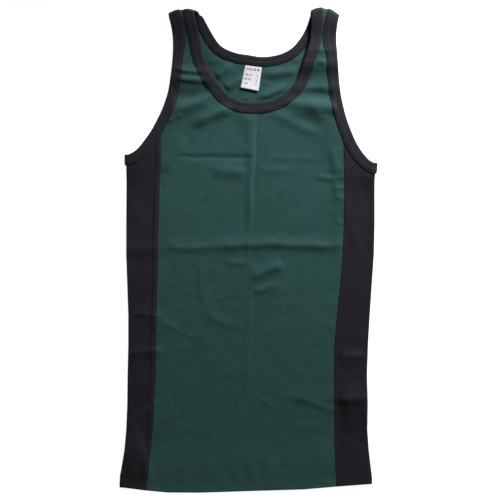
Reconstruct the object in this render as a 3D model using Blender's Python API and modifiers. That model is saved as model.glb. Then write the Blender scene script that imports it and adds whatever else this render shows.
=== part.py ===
"""A ribbed tank top lying flat on its back, straps towards +Y, the front facing up.

The origin is the middle of the footprint at the height of the surface, and left is -X.
Tables and lengths are in millimetres and are turned into metres where meshes are made.
Each piece is an open surface, the middle of its cloth, thickened by Solidify.
"""

from math import cos, hypot, pi, sin

import bmesh
import bpy
import numpy as np
from mathutils import Vector
from mathutils.geometry import delaunay_2d_cdt

MM = 0.001
GARMENT = "tank_top"

# Cloth and how it is put together.
CLOTH = 1.0  # thickness of every wall
SEAM_GAP = 0.3  # between two pieces that are sewn together
PLY = CLOTH + SEAM_GAP  # from the middle of one ply to the middle of the next
HEM_DEPTH = 22.0  # turned up inside, all round
HEM_OUT = PLY / 2 + CLOTH / 2  # from the start of the hem's fold to its lower edge
BINDING_WIDTH = 15.5  # of each leg of a binding
EDGE_INSIDE = 3.5  # from a binding's fold to the panel's raw edge inside it
LOFT = 0.6  # air between front and back in the body
SHOULDER_SEAM_TURN = 0.12  # half the gap of a shoulder seam, as a turn of its fold

# How the height of the cloth changes beside bindings and hem.
LEVEL = 2.0  # the cloth stays level this far past a binding's or hem's edge
OWN_RAMP = 25.0  # then a layer comes down from its own binding or hem
OVER_RAMP = 40.0  # and the front comes down more slowly from the back's binding
FOLD_KEEP = 3.0  # the height no longer changes this close to a fold

# Pitch and parts of the meshes.
PITCH_FRONT = 18.0
PITCH_BACK = 30.0
PITCH_EDGE = 14.5
PITCH_SIDE = 20.0
EDGE_STEPS = 4  # of a half turn of a hem or of a binding over its edge
FOLD_STEPS = 6  # of a half turn of the whole garment, at a side or a shoulder
FRONT_ROWS = (9.5, 17.5, 30.0, 44.0)  # rows of points this far from the finished edges
BACK_ROWS = (17.5, 42.5)
HEM_ROWS = (24.0, 36.0, 49.0)
CREASE_ROWS = (0.0, -0.8, 0.8, -1.7, 1.7)  # across a crease, in half widths
SIDE_COLUMNS = (0.0, 0.35, 0.7, 1.0)  # shares of a side panel's leg, from its seam
PANEL_SHARES = np.linspace(0.0, 1.0, 19)  # columns of a panel's hem
SEAM_POINTS = 30
STRAP_COLUMNS = 7
SHOULDER_ROWS = 4
CREASE_POINTS = 9
LATTICE_RISE = 0.866  # from one row of a triangular lattice to the next, in pitches
EDGE_ROOM = 0.4  # inner points keep this share of their pitch off an outline
POINT_ROOM = 0.7  # and this share off each other
WELD = 0.01  # points this close are one point
LABEL_ROWS = 6
LABEL_COLUMNS = 5
FOOTPRINT_MIDDLE = Vector((0.3, 0.1, 0.0))  # of the tables, moved to the origin

# Outline of the body: columns y, left fold, left seam, right seam, right fold.
BODY = np.array([
    (-352.0, -187.0, -148.5, 127.5, 181.0),
    (-339.0, -186.5, -146.5, 127.5, 180.5),
    (-327.5, -186.0, -145.0, 127.5, 180.0),
    (-311.5, -183.0, -143.5, 126.5, 178.0),
    (-290.0, -179.5, -141.0, 125.5, 175.5),
    (-261.0, -177.0, -138.5, 125.0, 173.5),
    (-224.5, -175.5, -136.5, 125.0, 174.0),
    (-181.0, -175.0, -134.0, 124.5, 173.0),
    (-137.5, -174.0, -133.5, 125.5, 174.5),
    (-94.0, -174.0, -133.0, 129.0, 177.0),
    (-50.5, -175.5, -131.5, 133.5, 180.0),
    (-7.0, -177.0, -130.5, 137.0, 183.0),
    (36.5, -177.0, -130.0, 139.0, 184.0),
    (101.5, -176.5, -128.0, 139.5, 184.0),
    (124.0, -177.0, -126.5, 138.5, 186.0),
    (145.0, -177.5, -126.5, 138.5, 186.0),
    (215.0, -177.5, -126.0, 138.0, 186.0),
])
# Lower edge of the hem: columns x, y.
HEM = np.array([
    (-186.5, -344.5), (-148.0, -348.5), (-116.0, -351.5), (-69.5, -351.8), (0.0, -349.5),
    (81.0, -347.0), (127.5, -343.0), (180.5, -339.5),
])
# Top of the straps, where the cloth rolls over the shoulders: columns x, y.
CREST_LEFT = np.array([
    (-121.0, 340.4), (-114.0, 344.3), (-107.0, 347.6), (-99.0, 349.7), (-90.0, 350.4),
    (-81.0, 349.0), (-74.0, 347.0), (-67.0, 344.6),
])
CREST_RIGHT = np.array([
    (84.0, 343.4), (90.0, 347.0), (97.0, 350.2), (105.0, 352.0), (113.0, 351.4),
    (121.0, 348.6), (128.0, 344.2), (135.0, 339.0),
])
# Finished edges, from shoulder to shoulder or from shoulder to side fold: columns x, y.
FRONT_NECK = np.array([
    (-78.5, 344.0), (-76.5, 334.0), (-71.5, 314.0), (-68.0, 296.0), (-63.0, 275.5),
    (-51.5, 252.5), (-32.0, 228.0), (-17.5, 218.5), (-4.5, 214.8), (8.5, 214.0),
    (26.0, 215.5), (40.5, 220.0), (57.0, 230.5), (70.5, 246.0), (81.0, 273.5),
    (89.0, 300.5), (92.0, 322.0), (93.0, 343.5),
])
BACK_NECK = np.array([
    (-70.2, 342.0), (-65.2, 337.5), (-60.0, 327.8), (-46.5, 304.5), (-35.5, 293.5),
    (-17.5, 286.0), (0.0, 283.0), (17.5, 280.3), (29.0, 280.5), (46.5, 284.0),
    (61.0, 291.0), (71.0, 300.5), (80.0, 313.0), (86.5, 326.5), (91.0, 341.5),
])
LEFT_ARMHOLE = np.array([
    (-114.5, 339.0), (-109.8, 316.0), (-108.5, 296.0), (-109.5, 275.5), (-112.0, 252.5),
    (-116.0, 229.0), (-123.5, 206.0), (-132.0, 188.0), (-140.5, 172.5), (-149.5, 160.0),
    (-158.0, 149.0), (-167.0, 141.5), (-174.0, 138.5),
])
RIGHT_ARMHOLE = np.array([
    (130.5, 335.5), (128.3, 319.0), (127.5, 304.5), (129.0, 284.5), (131.0, 258.0),
    (133.5, 232.0), (137.5, 210.5), (143.0, 190.0), (150.0, 171.0), (158.0, 153.5),
    (167.0, 140.0), (175.5, 130.5), (182.5, 126.5),
])
# Creases of the front, each a soft ridge along a bent line through three points:
# columns x and y of start, middle and end, half width, height.
CREASES = np.array([
    (11.0, 190.0, 7.5, 120.0, 5.5, 45.0, 5.0, 1.1),
    (4.5, -15.0, 1.5, -90.0, -2.5, -200.0, 5.0, 1.4),
    (-103.0, 131.0, -55.0, 133.5, -7.0, 132.0, 7.0, 1.3),
    (20.0, 136.0, 75.0, 137.5, 133.0, 134.0, 8.0, 0.9),
    (-128.0, 11.0, -55.0, 6.0, 12.0, 8.0, 11.0, 2.2),
    (12.0, 8.0, 70.0, 10.0, 150.0, 3.0, 11.0, 2.6),
    (0.0, -22.0, 28.0, -25.0, 55.0, -21.0, 9.0, 1.6),
    (2.0, -57.0, 30.0, -60.0, 62.0, -56.0, 9.0, 1.0),
    (-171.0, -88.0, -135.0, -95.0, -98.0, -116.0, 10.0, 2.2),
    (-98.0, -116.0, -66.0, -136.0, -4.0, -135.0, 9.0, 1.8),
    (-62.0, -10.0, -67.0, -55.0, -58.0, -88.0, 9.0, 1.2),
    (-58.0, -88.0, -46.0, -107.0, -4.0, -108.5, 9.0, 1.5),
    (7.0, -207.0, 20.0, -219.0, 38.0, -230.0, 8.0, 1.4),
    (52.0, -210.0, 105.0, -229.0, 171.0, -221.0, 11.0, 2.2),
    (104.0, -121.0, 140.0, -126.0, 171.0, -123.0, 9.0, 1.4),
    (122.0, -161.0, 150.0, -158.0, 171.0, -160.0, 9.0, 1.2),
    (-171.0, -149.0, -152.0, -150.0, -118.0, -145.0, 9.0, 1.5),
    (-100.0, 208.0, -84.0, 219.0, -52.0, 229.0, 9.0, 1.5),
    (60.0, 207.0, 90.0, 210.0, 118.0, 205.0, 10.0, 1.5),
])
# The label: corner where its top edge starts, lean from upright, and size.
LABEL_CORNER = (-4.5, 266.5)
LABEL_LEAN = 0.16
LABEL_SIZE = (24.0, 35.0)

GREEN = (0.020, 0.085, 0.070)
BLACK = (0.012, 0.010, 0.014)
WHITE = (0.80, 0.80, 0.80)


# ---- lines and ramps ----

def smooth(table, step=3.0):
    """Points every step or so along the Catmull-Rom curve through a table's points."""
    ends = np.vstack([2 * table[0] - table[1], table, 2 * table[-1] - table[-2]])
    found = []
    for before, start, end, after in zip(ends, ends[1:], ends[2:], ends[3:]):
        count = max(2, round(hypot(*(end - start)) / step))
        for share in np.arange(count) / count:
            found.append(0.5 * (
                2 * start + (end - before) * share
                + (2 * before - 5 * start + 4 * end - after) * share**2
                + (3 * start - before - 3 * end + after) * share**3
            ))
    return np.array(found + [table[-1]])


def spaced(line, pitch):
    """The line again, as points the same distance apart, close to the pitch."""
    run = np.concatenate([[0.0], np.cumsum(np.hypot(*np.diff(line, axis=0).T))])
    places = np.linspace(0.0, run[-1], max(2, round(run[-1] / pitch) + 1))
    return np.column_stack([np.interp(places, run, line[:, k]) for k in (0, 1)])


def inward(line):
    """Unit vectors square to a line, to its left as it runs."""
    along = np.gradient(line, axis=0)
    along /= np.hypot(*along.T)[:, None]
    return np.column_stack([-along[:, 1], along[:, 0]])


def distance(line, x, y):
    """How far a point is from a line."""
    start, along = line[:-1], np.diff(line, axis=0)
    share = ((x - start[:, 0]) * along[:, 0] + (y - start[:, 1]) * along[:, 1])
    share = np.clip(share / (along**2).sum(axis=1), 0.0, 1.0)
    near = start + along * share[:, None]
    return np.hypot(near[:, 0] - x, near[:, 1] - y).min()


def fade(far, level, ramp):
    """1 up to the level's end, then smoothly down to 0 over the ramp."""
    share = min(max((far - level) / ramp, 0.0), 1.0)
    return 1.0 - share * share * (3.0 - 2.0 * share)


# Finished edges as curves, each with the cloth on its left.
NECK_FRONT = smooth(FRONT_NECK)[::-1]
NECK_BACK = smooth(BACK_NECK)[::-1]
ARM_LEFT = smooth(LEFT_ARMHOLE)
ARM_RIGHT = smooth(RIGHT_ARMHOLE)[::-1]
CREST = np.vstack([smooth(CREST_LEFT), smooth(CREST_RIGHT)])
FRONT_EDGES = (NECK_FRONT, ARM_LEFT, ARM_RIGHT)
BACK_EDGES = (NECK_BACK, ARM_LEFT, ARM_RIGHT)


def body(column, y):
    return np.interp(y, BODY[:, 0], BODY[:, column])


def fold_x(side, y):
    """Outline of the body at a side, -1 left or 1 right."""
    return body(1 if side < 0 else 4, y)


def seam_x(side, y):
    return body(2 if side < 0 else 3, y)


def hem_y(x):
    return np.interp(x, HEM[:, 0], HEM[:, 1])


def crest_y(x):
    return np.interp(x, CREST[:, 0], CREST[:, 1])


def body_x(share, y, clear=0.0):
    """Across the body between its side seams, from share 0 at the left to 1."""
    left, right = seam_x(-1, y) + clear, seam_x(1, y) - clear
    return left + (right - left) * share


# ---- heights of the cloth's middle above the surface ----

CREASE_LINES = [
    np.array([
        (1 - t)**2 * row[0:2] + 2 * t * (1 - t) * row[2:4] + t * t * row[4:6]
        for t in np.linspace(0.0, 1.0, CREASE_POINTS)
    ])
    for row in CREASES
]


def creases(x, y):
    """Height that the front's creases add."""
    total = 0.0
    for row, line in zip(CREASES, CREASE_LINES):
        total += row[7] * np.exp(-(distance(line, x, y) / row[6])**2)
    return total


def inside_folds(x, y):
    """The point itself, or the nearest one that is clear of the folds."""
    x = min(max(x, fold_x(-1, y) + FOLD_KEEP), fold_x(1, y) - FOLD_KEEP)
    return x, min(y, crest_y(x) - FOLD_KEEP)


def edge_share(edges, x, y, ramp):
    """1 on the bindings of these edges, down to 0 where all of them are far away."""
    free = 1.0
    for edge in edges:
        free *= 1.0 - fade(distance(edge, x, y), BINDING_WIDTH + LEVEL, ramp)
    return 1.0 - free


def hem_share(x, y):
    return fade(y - hem_y(x), HEM_DEPTH + LEVEL, OWN_RAMP)


def back_height(x, y):
    """The back lies on the surface, and on its bindings' lower legs near its edges."""
    x, y = inside_folds(x, y)
    return CLOTH / 2 + PLY * edge_share(BACK_EDGES, x, y, OWN_RAMP)


def front_height(x, y):
    """The front lies on the back, its bindings and its hem, and is creased."""
    x, y = inside_folds(x, y)
    over = edge_share(BACK_EDGES, x, y, OVER_RAMP)
    own = edge_share(FRONT_EDGES, x, y, OWN_RAMP)
    hem = hem_share(x, y)
    free = (1.0 - own) * (1.0 - hem)
    raised = 2 * PLY * over + PLY * own + 2 * PLY * hem
    return CLOTH / 2 + PLY + raised + free * (LOFT + creases(x, y))


# ---- places on the cloth, lifted outwards from its middle ----

def on_front(x, y, lift=0.0):
    return Vector((x, y, front_height(x, y) + lift))


def on_back(x, y, lift=0.0):
    return Vector((x, y, back_height(x, y) - lift))


def side_roll(side, y):
    """Radius, middle height and start of the side fold at y."""
    x = fold_x(side, y)
    top, bottom = front_height(x, y), back_height(x, y)
    radius = (top - bottom) / 2
    return radius, (top + bottom) / 2, x - side * (CLOTH / 2 + radius)


def on_side_fold(side, y, turn, lift=0.0):
    """A point of a side fold, from the front at turn 0 to the back at turn pi."""
    radius, middle, start = side_roll(side, y)
    radius += lift
    return Vector((start + side * radius * sin(turn), y, middle + radius * cos(turn)))


def shoulder_roll(x):
    """Radius, middle height, start and level direction of the shoulder fold at x."""
    top, bottom = front_height(x, crest_y(x)), back_height(x, crest_y(x))
    radius = (top - bottom) / 2
    slope = (crest_y(x + 1.0) - crest_y(x - 1.0)) / 2.0
    start = crest_y(x) - (radius + PLY + CLOTH / 2) * hypot(1.0, slope)
    return radius, (top + bottom) / 2, start, Vector((-slope, 1.0)).normalized()


def shoulder_start(x):
    return shoulder_roll(x)[2]


def on_shoulder_fold(x, turn, lift=0.0):
    """A point of a shoulder fold, from the front at turn 0 to the back at turn pi."""
    radius, middle, start, ahead = shoulder_roll(x)
    out = (radius + lift) * sin(turn)
    return Vector((
        x + ahead.x * out, start + ahead.y * out, middle + (radius + lift) * cos(turn)
    ))


# ---- surfaces ----

def new_object(name, bm, color, roughness):
    """A named piece of cloth from an open surface in millimetres."""
    bmesh.ops.remove_doubles(bm, verts=bm.verts, dist=WELD)
    bmesh.ops.recalc_face_normals(bm, faces=bm.faces)
    bmesh.ops.translate(bm, vec=-FOOTPRINT_MIDDLE, verts=bm.verts)
    bmesh.ops.scale(bm, vec=(MM, MM, MM), verts=bm.verts)
    mesh = bpy.data.meshes.new(name)
    bm.to_mesh(mesh)
    bm.free()
    mesh.shade_smooth()
    piece = bpy.data.objects.new(name, mesh)
    bpy.data.collections[GARMENT].objects.link(piece)
    wall = piece.modifiers.new("wall", "SOLIDIFY")
    wall.thickness = CLOTH * MM
    wall.offset = 0.0
    wall.use_even_offset = True
    material = bpy.data.materials.new(name)
    material.use_nodes = True
    shader = material.node_tree.nodes["Principled BSDF"]
    shader.inputs["Base Color"].default_value = (*color, 1.0)
    shader.inputs["Roughness"].default_value = roughness
    shader.inputs["Metallic"].default_value = 0.0
    mesh.materials.append(material)
    return piece


def add_grid(bm, rows, closed=False):
    """Faces between rows of points, and from the last row to the first if closed."""
    lines = [[bm.verts.new(point) for point in row] for row in rows]
    if closed:
        lines.append(lines[0])
    for lower, upper in zip(lines, lines[1:]):
        for k in range(len(lower) - 1):
            bm.faces.new((lower[k], lower[k + 1], upper[k + 1], upper[k]))


def add_field(bm, outline, inner, place):
    """A flat outline filled with triangles through the inner points, then placed."""
    corners = [Vector(point) for point in outline]
    sides = [(k, (k + 1) % len(corners)) for k in range(len(corners))]
    points = corners + [Vector(point) for point in inner]
    flat, _, faces, *_ = delaunay_2d_cdt(points, sides, [], 1, 1e-4)
    verts = [bm.verts.new(place(point.x, point.y)) for point in flat]
    for face in faces:
        bm.faces.new([verts[k] for k in face])


def thinned(points):
    """The points in their order, without those too close to one already kept."""
    kept = []
    for point, room in points:
        if all(hypot(point[0] - x, point[1] - y) > room * POINT_ROOM for x, y in kept):
            kept.append(tuple(point))
    return kept


def lattice(pitch):
    """A triangular lattice over the whole garment."""
    found = []
    rise = LATTICE_RISE * pitch
    for row, y in enumerate(np.arange(HEM[:, 1].min(), CREST[:, 1].max(), rise)):
        shift = pitch / 2 * (row % 2)
        for x in np.arange(BODY[:, 1].min() + shift, BODY[:, 4].max(), pitch):
            found.append((x, y))
    return found


def crease_points(pitch):
    """Rows of points along the middle and both flanks of each crease."""
    found = []
    for row, line in zip(CREASES, CREASE_LINES):
        line = spaced(line, pitch)
        for share in CREASE_ROWS:
            found += [(point, row[6]) for point in line + inward(line) * share * row[6]]
    return found


# ---- panels ----

def arm_edge(side):
    """An armhole's raw edge, from the shoulder to the side fold."""
    line = ARM_LEFT if side < 0 else ARM_RIGHT
    line = line + inward(line) * EDGE_INSIDE
    return line if side < 0 else line[::-1]


def over_seam(side, line):
    """Which points of a line lie between the two side seams."""
    return np.array([side * (seam_x(side, y) - x) > 0 for x, y in line])


def seam_top(side):
    """Where a side seam meets the armhole's raw edge."""
    line = arm_edge(side)
    return line[over_seam(side, line)][-1][1]


def seam_line(side):
    """A panel's edge along a side seam, from the hem up."""
    share = 0.0 if side < 0 else 1.0
    rows = np.linspace(hem_start(share), seam_top(side), SEAM_POINTS)
    return np.array([(body_x(share, y, SEAM_GAP / 2), y) for y in rows])


def hem_start(share):
    """Where the hem of a front or back panel starts to fold."""
    return hem_y(body_x(share, HEM[0, 1])) + HEM_OUT


def strap_columns(side, neck):
    """Places across a strap at the start of the shoulder fold."""
    outer = arm_edge(side)[0][0]
    inner = neck[-1 if side < 0 else 0][0] + side * EDGE_INSIDE
    return np.linspace(outer, inner, STRAP_COLUMNS)


def strap_top(side, neck):
    return [(x, shoulder_start(x)) for x in strap_columns(side, neck)]


def panel_outline(neck):
    """A front or back panel from the hem's fold to the shoulder folds."""
    right = arm_edge(1)
    left = arm_edge(-1)
    right_arm = spaced(right[over_seam(1, right)][::-1], PITCH_EDGE)
    left_arm = spaced(left[over_seam(-1, left)], PITCH_EDGE)
    throat = spaced(neck + inward(neck) * EDGE_INSIDE, PITCH_EDGE)
    hem = [
        (body_x(share, hem_start(share), SEAM_GAP / 2), hem_start(share))
        for share in PANEL_SHARES
    ]
    return np.array([
        *hem,
        *seam_line(1)[1:-1],
        *right_arm[:-1],
        *strap_top(1, neck),
        *throat[1:-1],
        *strap_top(-1, neck)[::-1],
        *left_arm[1:],
        *seam_line(-1)[::-1][1:-1],
    ])


def crosses(outline, x, y):
    """Whether a point is inside an outline."""
    after = np.roll(outline, -1, axis=0)
    spans = (outline[:, 1] > y) != (after[:, 1] > y)
    rise = np.where(spans, after[:, 1] - outline[:, 1], 1.0)
    meet = outline[:, 0] + (y - outline[:, 1]) / rise * (after[:, 0] - outline[:, 0])
    return np.count_nonzero(spans & (meet > x)) % 2 == 1


def panel_inner(outline, edges, depths, pitch, extra):
    """Points inside a panel: rows beside its edges and hem, creases, then a lattice."""
    wanted = []
    for depth in depths:
        for edge in edges:
            row = spaced(edge + inward(edge) * depth, PITCH_EDGE)
            wanted += [(point, PITCH_EDGE) for point in row]
    for rise in HEM_ROWS:
        for share in PANEL_SHARES[1:-1]:
            y = hem_start(share) + rise
            wanted.append(((body_x(share, y), y), PITCH_EDGE))
    wanted += extra
    wanted += [(point, pitch) for point in lattice(pitch)]
    closed = np.vstack([outline, outline[:1]])
    wanted = [
        (point, room) for point, room in wanted
        if crosses(outline, *point) and distance(closed, *point) > EDGE_ROOM * room
    ]
    return thinned(wanted)


def hem_profile():
    """Rows of the hem, from the start of its fold: rise, and lift of the cloth."""
    turns = np.linspace(0.0, pi, EDGE_STEPS + 1)
    fold = [(-PLY / 2 * sin(turn), PLY / 2 * (cos(turn) - 1.0)) for turn in turns]
    return fold + [(HEM_DEPTH / 2, -PLY), (HEM_DEPTH - HEM_OUT, -PLY)]


def add_hem(bm, place):
    """The fold of the hem and the ply that it turns up inside."""
    rows = []
    for rise, lift in hem_profile():
        row = []
        for share in PANEL_SHARES:
            y = hem_start(share) + rise
            row.append(place(body_x(share, y, SEAM_GAP / 2), y, lift))
        rows.append(row)
    add_grid(bm, rows)


def shoulder_x(front, back, turn):
    """A line over the shoulder fold, from its place on the front to that on the back."""
    return front + (back - front) * (1.0 - cos(turn)) / 2


def add_shoulder(bm, side, turns):
    front, back = strap_columns(side, NECK_FRONT), strap_columns(side, NECK_BACK)
    add_grid(bm, [
        [on_shoulder_fold(x, turn) for x in shoulder_x(front, back, turn)]
        for turn in turns
    ])


def panel(name, neck, place, inner, turns):
    bm = bmesh.new()
    add_field(bm, panel_outline(neck), inner, place)
    add_hem(bm, place)
    for side in (-1, 1):
        add_shoulder(bm, side, turns)
    return new_object(name, bm, GREEN, 0.75)


def front_panel():
    outline = panel_outline(NECK_FRONT)
    extra = crease_points(PITCH_FRONT)
    inner = panel_inner(outline, FRONT_EDGES, FRONT_ROWS, PITCH_FRONT, extra)
    turns = np.linspace(0.0, pi / 2 - SHOULDER_SEAM_TURN, SHOULDER_ROWS)
    return panel("front_panel", NECK_FRONT, on_front, inner, turns)


def back_panel():
    outline = panel_outline(NECK_BACK)
    inner = panel_inner(outline, BACK_EDGES, BACK_ROWS, PITCH_BACK, [])
    turns = np.linspace(pi, pi / 2 + SHOULDER_SEAM_TURN, SHOULDER_ROWS)
    return panel("back_panel", NECK_BACK, on_back, inner, turns)


# ---- side panels ----

def side_top(side, share):
    """Height of a side panel's top edge, from the seam at share 0 to the fold at 1."""
    line = arm_edge(side)
    line = line[~over_seam(side, line)]
    seam = np.array([seam_x(side, y) for y in line[:, 1]])
    fold = np.array([side_roll(side, y)[2] for y in line[:, 1]])
    shares = (line[:, 0] - seam) / (fold - seam)
    order = np.argsort(shares)
    return np.interp(share, shares[order], line[order, 1])


def side_point(side, place, share, y, lift):
    """A point of a leg, from the seam at share 0 to the start of the fold at 1."""
    seam = seam_x(side, y) + side * SEAM_GAP / 2
    return place(seam + (side_roll(side, y)[2] - seam) * share, y, lift)


def side_section():
    """Columns of a side panel from the front seam round to the back seam."""
    turns = np.linspace(0.0, pi, FOLD_STEPS + 1)[1:-1]
    front = [("front", share) for share in SIDE_COLUMNS]
    back = [("back", share) for share in SIDE_COLUMNS[::-1]]
    return front + [("fold", turn) for turn in turns] + back


def side_place(side, kind, value, y, lift):
    if kind == "fold":
        return on_side_fold(side, y, value, lift)
    return side_point(side, on_front if kind == "front" else on_back, value, y, lift)


def side_panel(name, side):
    section = side_section()
    shares = [1.0 if kind == "fold" else value for kind, value in section]
    seam = hem_start(0.0 if side < 0 else 1.0)
    fold = hem_y(fold_x(side, HEM[0, 1])) + HEM_OUT
    starts = [seam + (fold - seam) * share for share in shares]
    tops = [side_top(side, share) for share in shares]
    rows = [
        [(start + rise, lift) for start in starts] for rise, lift in hem_profile()[::-1]
    ]
    count = round((max(tops) - fold) / PITCH_SIDE)
    for share in np.linspace(0.0, 1.0, count + 1)[1:]:
        rows.append([
            (start + (top - start) * share, 0.0) for start, top in zip(starts, tops)
        ])
    bm = bmesh.new()
    add_grid(bm, [
        [side_place(side, *part, *spot) for part, spot in zip(section, row)]
        for row in rows
    ])
    return new_object(name, bm, BLACK, 0.85)


# ---- bindings ----

def binding_section():
    """Depth from the finished edge and lift from the panel's middle, leg to leg."""
    centre = PLY + CLOTH / 2
    depths = (BINDING_WIDTH, (BINDING_WIDTH + centre) / 2, centre)
    turns = np.linspace(0.0, pi, EDGE_STEPS + 1)[1:-1]
    upper = [(depth, PLY) for depth in depths]
    fold = [(centre - PLY * sin(turn), PLY * cos(turn)) for turn in turns]
    return upper + fold + [(depth, -PLY) for depth in depths[::-1]]


def flat_rows(line, place):
    """Rows of a binding along a finished edge."""
    return [
        [place(x + right * depth, y + up * depth, lift)
         for depth, lift in binding_section()]
        for (x, y), (right, up) in zip(line, inward(line))
    ]


def rows_to_fold(line, place, side):
    """The same for an armhole, whose rows turn to run along the side fold near it."""
    rows = []
    for (x, y), (right, up) in zip(line, inward(line)):
        away = 1.0 - fade(abs(fold_x(side, y) - x), LEVEL, 2 * BINDING_WIDTH)
        right, up = Vector((right * away, up)).normalized()
        start = side_roll(side, y)[2]
        row = []
        for depth, lift in binding_section():
            low = y + up * depth
            drift = (side_roll(side, low)[2] - start) * (1.0 - away)
            row.append(place(x + right * depth + drift, low, lift))
        rows.append(row)
    return rows


def shoulder_rows(start, end, inner):
    """Rows over a shoulder fold, front to back, with the cloth towards inner, 1 or -1."""
    rows = []
    for turn in np.linspace(0.0, pi, FOLD_STEPS + 1):
        x = shoulder_x(start, end, turn)
        rows.append([
            on_shoulder_fold(x + inner * depth, turn, lift)
            for depth, lift in binding_section()
        ])
    return rows


def underarm_rows(side, y):
    """Rows round a side fold, front to back."""
    return [
        [on_side_fold(side, y - depth, turn, lift) for depth, lift in binding_section()]
        for turn in np.linspace(0.0, pi, FOLD_STEPS + 1)[1:-1]
    ]


def to_shoulder(line):
    """An edge with its upper ends moved to the start of the shoulder fold."""
    line = line.copy()
    for end in (0, -1):
        if line[end][1] > CREST[:, 1].max() / 2:
            line[end][1] = shoulder_start(line[end][0])
    return line


def neck_binding():
    front = spaced(to_shoulder(NECK_FRONT), PITCH_EDGE)
    back = spaced(to_shoulder(NECK_BACK), PITCH_EDGE)
    rows = flat_rows(front, on_front)[1:-1]
    rows += shoulder_rows(front[-1][0], back[-1][0], -1)
    rows += flat_rows(back, on_back)[-2:0:-1]
    rows += shoulder_rows(front[0][0], back[0][0], 1)[::-1]
    bm = bmesh.new()
    add_grid(bm, rows, closed=True)
    return new_object("neck_binding", bm, BLACK, 0.85)


def armhole_binding(name, side):
    edge = to_shoulder(ARM_LEFT if side < 0 else ARM_RIGHT)
    low = -1 if side < 0 else 0
    edge[low][0] = side_roll(side, edge[low][1])[2]
    edge = spaced(edge, PITCH_EDGE)
    down = slice(None) if side < 0 else slice(None, None, -1)
    rows = rows_to_fold(edge, on_front, side)[down][1:]
    rows += underarm_rows(side, edge[low][1])
    rows += rows_to_fold(edge, on_back, side)[down][:0:-1]
    top = edge[down][0][0]
    rows += shoulder_rows(top, top, -side)[::-1]
    bm = bmesh.new()
    add_grid(bm, rows, closed=True)
    return new_object(name, bm, BLACK, 0.85)


# ---- label ----

def label():
    """A tape that hangs from the back neck binding on the inside of the back."""
    width, height = LABEL_SIZE
    right = Vector((cos(-LABEL_LEAN / 2), sin(-LABEL_LEAN / 2)))
    down = Vector((-sin(LABEL_LEAN), -cos(LABEL_LEAN)))
    corner = Vector(LABEL_CORNER)
    rows = []
    for drop in np.linspace(0.0, height, LABEL_ROWS):
        spots = [corner + right * across + down * drop
                 for across in np.linspace(0.0, width, LABEL_COLUMNS)]
        rows.append([on_back(spot.x, spot.y, -PLY) for spot in spots])
    bm = bmesh.new()
    add_grid(bm, rows)
    return new_object("label", bm, WHITE, 0.5)


def main():
    for old in list(bpy.data.objects):
        bpy.data.objects.remove(old)
    bpy.context.scene.collection.children.link(bpy.data.collections.new(GARMENT))
    back_panel()
    front_panel()
    side_panel("side_panel_left", -1)
    side_panel("side_panel_right", 1)
    neck_binding()
    armhole_binding("armhole_binding_left", -1)
    armhole_binding("armhole_binding_right", 1)
    label()


main()
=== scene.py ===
"""Looks of a ribbed tank top that lies flat on its back: cloth, seams, stitches, label.

Every piece is a thin shell on its solid's form, worked out from the same sizes, with
finer creases. Lengths are in millimetres and become metres where meshes are made.
Left is -X, +Y is towards the shoulders and +Z is up, out of the surface.
"""

from math import hypot, pi, radians

import bmesh
import bpy
import numpy as np
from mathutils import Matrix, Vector
from mathutils.geometry import delaunay_2d_cdt

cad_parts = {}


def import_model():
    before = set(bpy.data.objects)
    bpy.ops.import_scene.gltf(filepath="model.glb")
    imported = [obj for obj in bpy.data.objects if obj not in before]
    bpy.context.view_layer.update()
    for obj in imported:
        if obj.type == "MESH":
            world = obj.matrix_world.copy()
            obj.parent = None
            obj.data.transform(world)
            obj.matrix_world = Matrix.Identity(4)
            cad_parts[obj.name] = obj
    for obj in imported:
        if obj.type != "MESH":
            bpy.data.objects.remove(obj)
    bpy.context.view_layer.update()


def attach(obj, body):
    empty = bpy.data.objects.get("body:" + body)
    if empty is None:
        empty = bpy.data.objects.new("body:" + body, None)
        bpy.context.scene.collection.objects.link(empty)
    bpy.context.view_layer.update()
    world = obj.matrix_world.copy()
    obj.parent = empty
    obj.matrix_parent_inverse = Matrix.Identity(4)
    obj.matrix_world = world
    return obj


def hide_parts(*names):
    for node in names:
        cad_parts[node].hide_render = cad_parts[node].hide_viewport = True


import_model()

MM = 0.001
BODY_NAME = "root"

# The solids' construction.
CLOTH = 1.0
SEAM_GAP = 0.3
PLY = CLOTH + SEAM_GAP  # from the middle of one ply to the middle of the next
HEM_DEPTH = 22.0
HEM_OUT = PLY / 2 + CLOTH / 2  # from the start of the hem's fold to its lower edge
BINDING_WIDTH = 15.5
EDGE_INSIDE = 3.5  # from a binding's fold to the panel's raw edge inside it
LOFT = 0.6  # air between front and back
LEVEL = 2.0  # the cloth stays level this far past a binding's or hem's edge
OWN_RAMP = 25.0
OVER_RAMP = 40.0
FOOTPRINT_MIDDLE = np.array((0.3, 0.1, 0.0))  # of the tables, moved to the origin

# The cloth that is seen.
SHEET = 0.8  # thickness of its shells
WELD = 0.001  # points this close are one point
PITCH = 9.2  # of a panel's points before each triangle is split in 16
EDGE_PITCH = 6.0
SPLITS = 2
SEAM_ROWS = (1.6, 4.2)  # rows of points beside a side seam
SEAM_CLEAR = 0.02  # half the gap of a side seam that is sewn shut
SIDE_PITCH = 2.4
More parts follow.
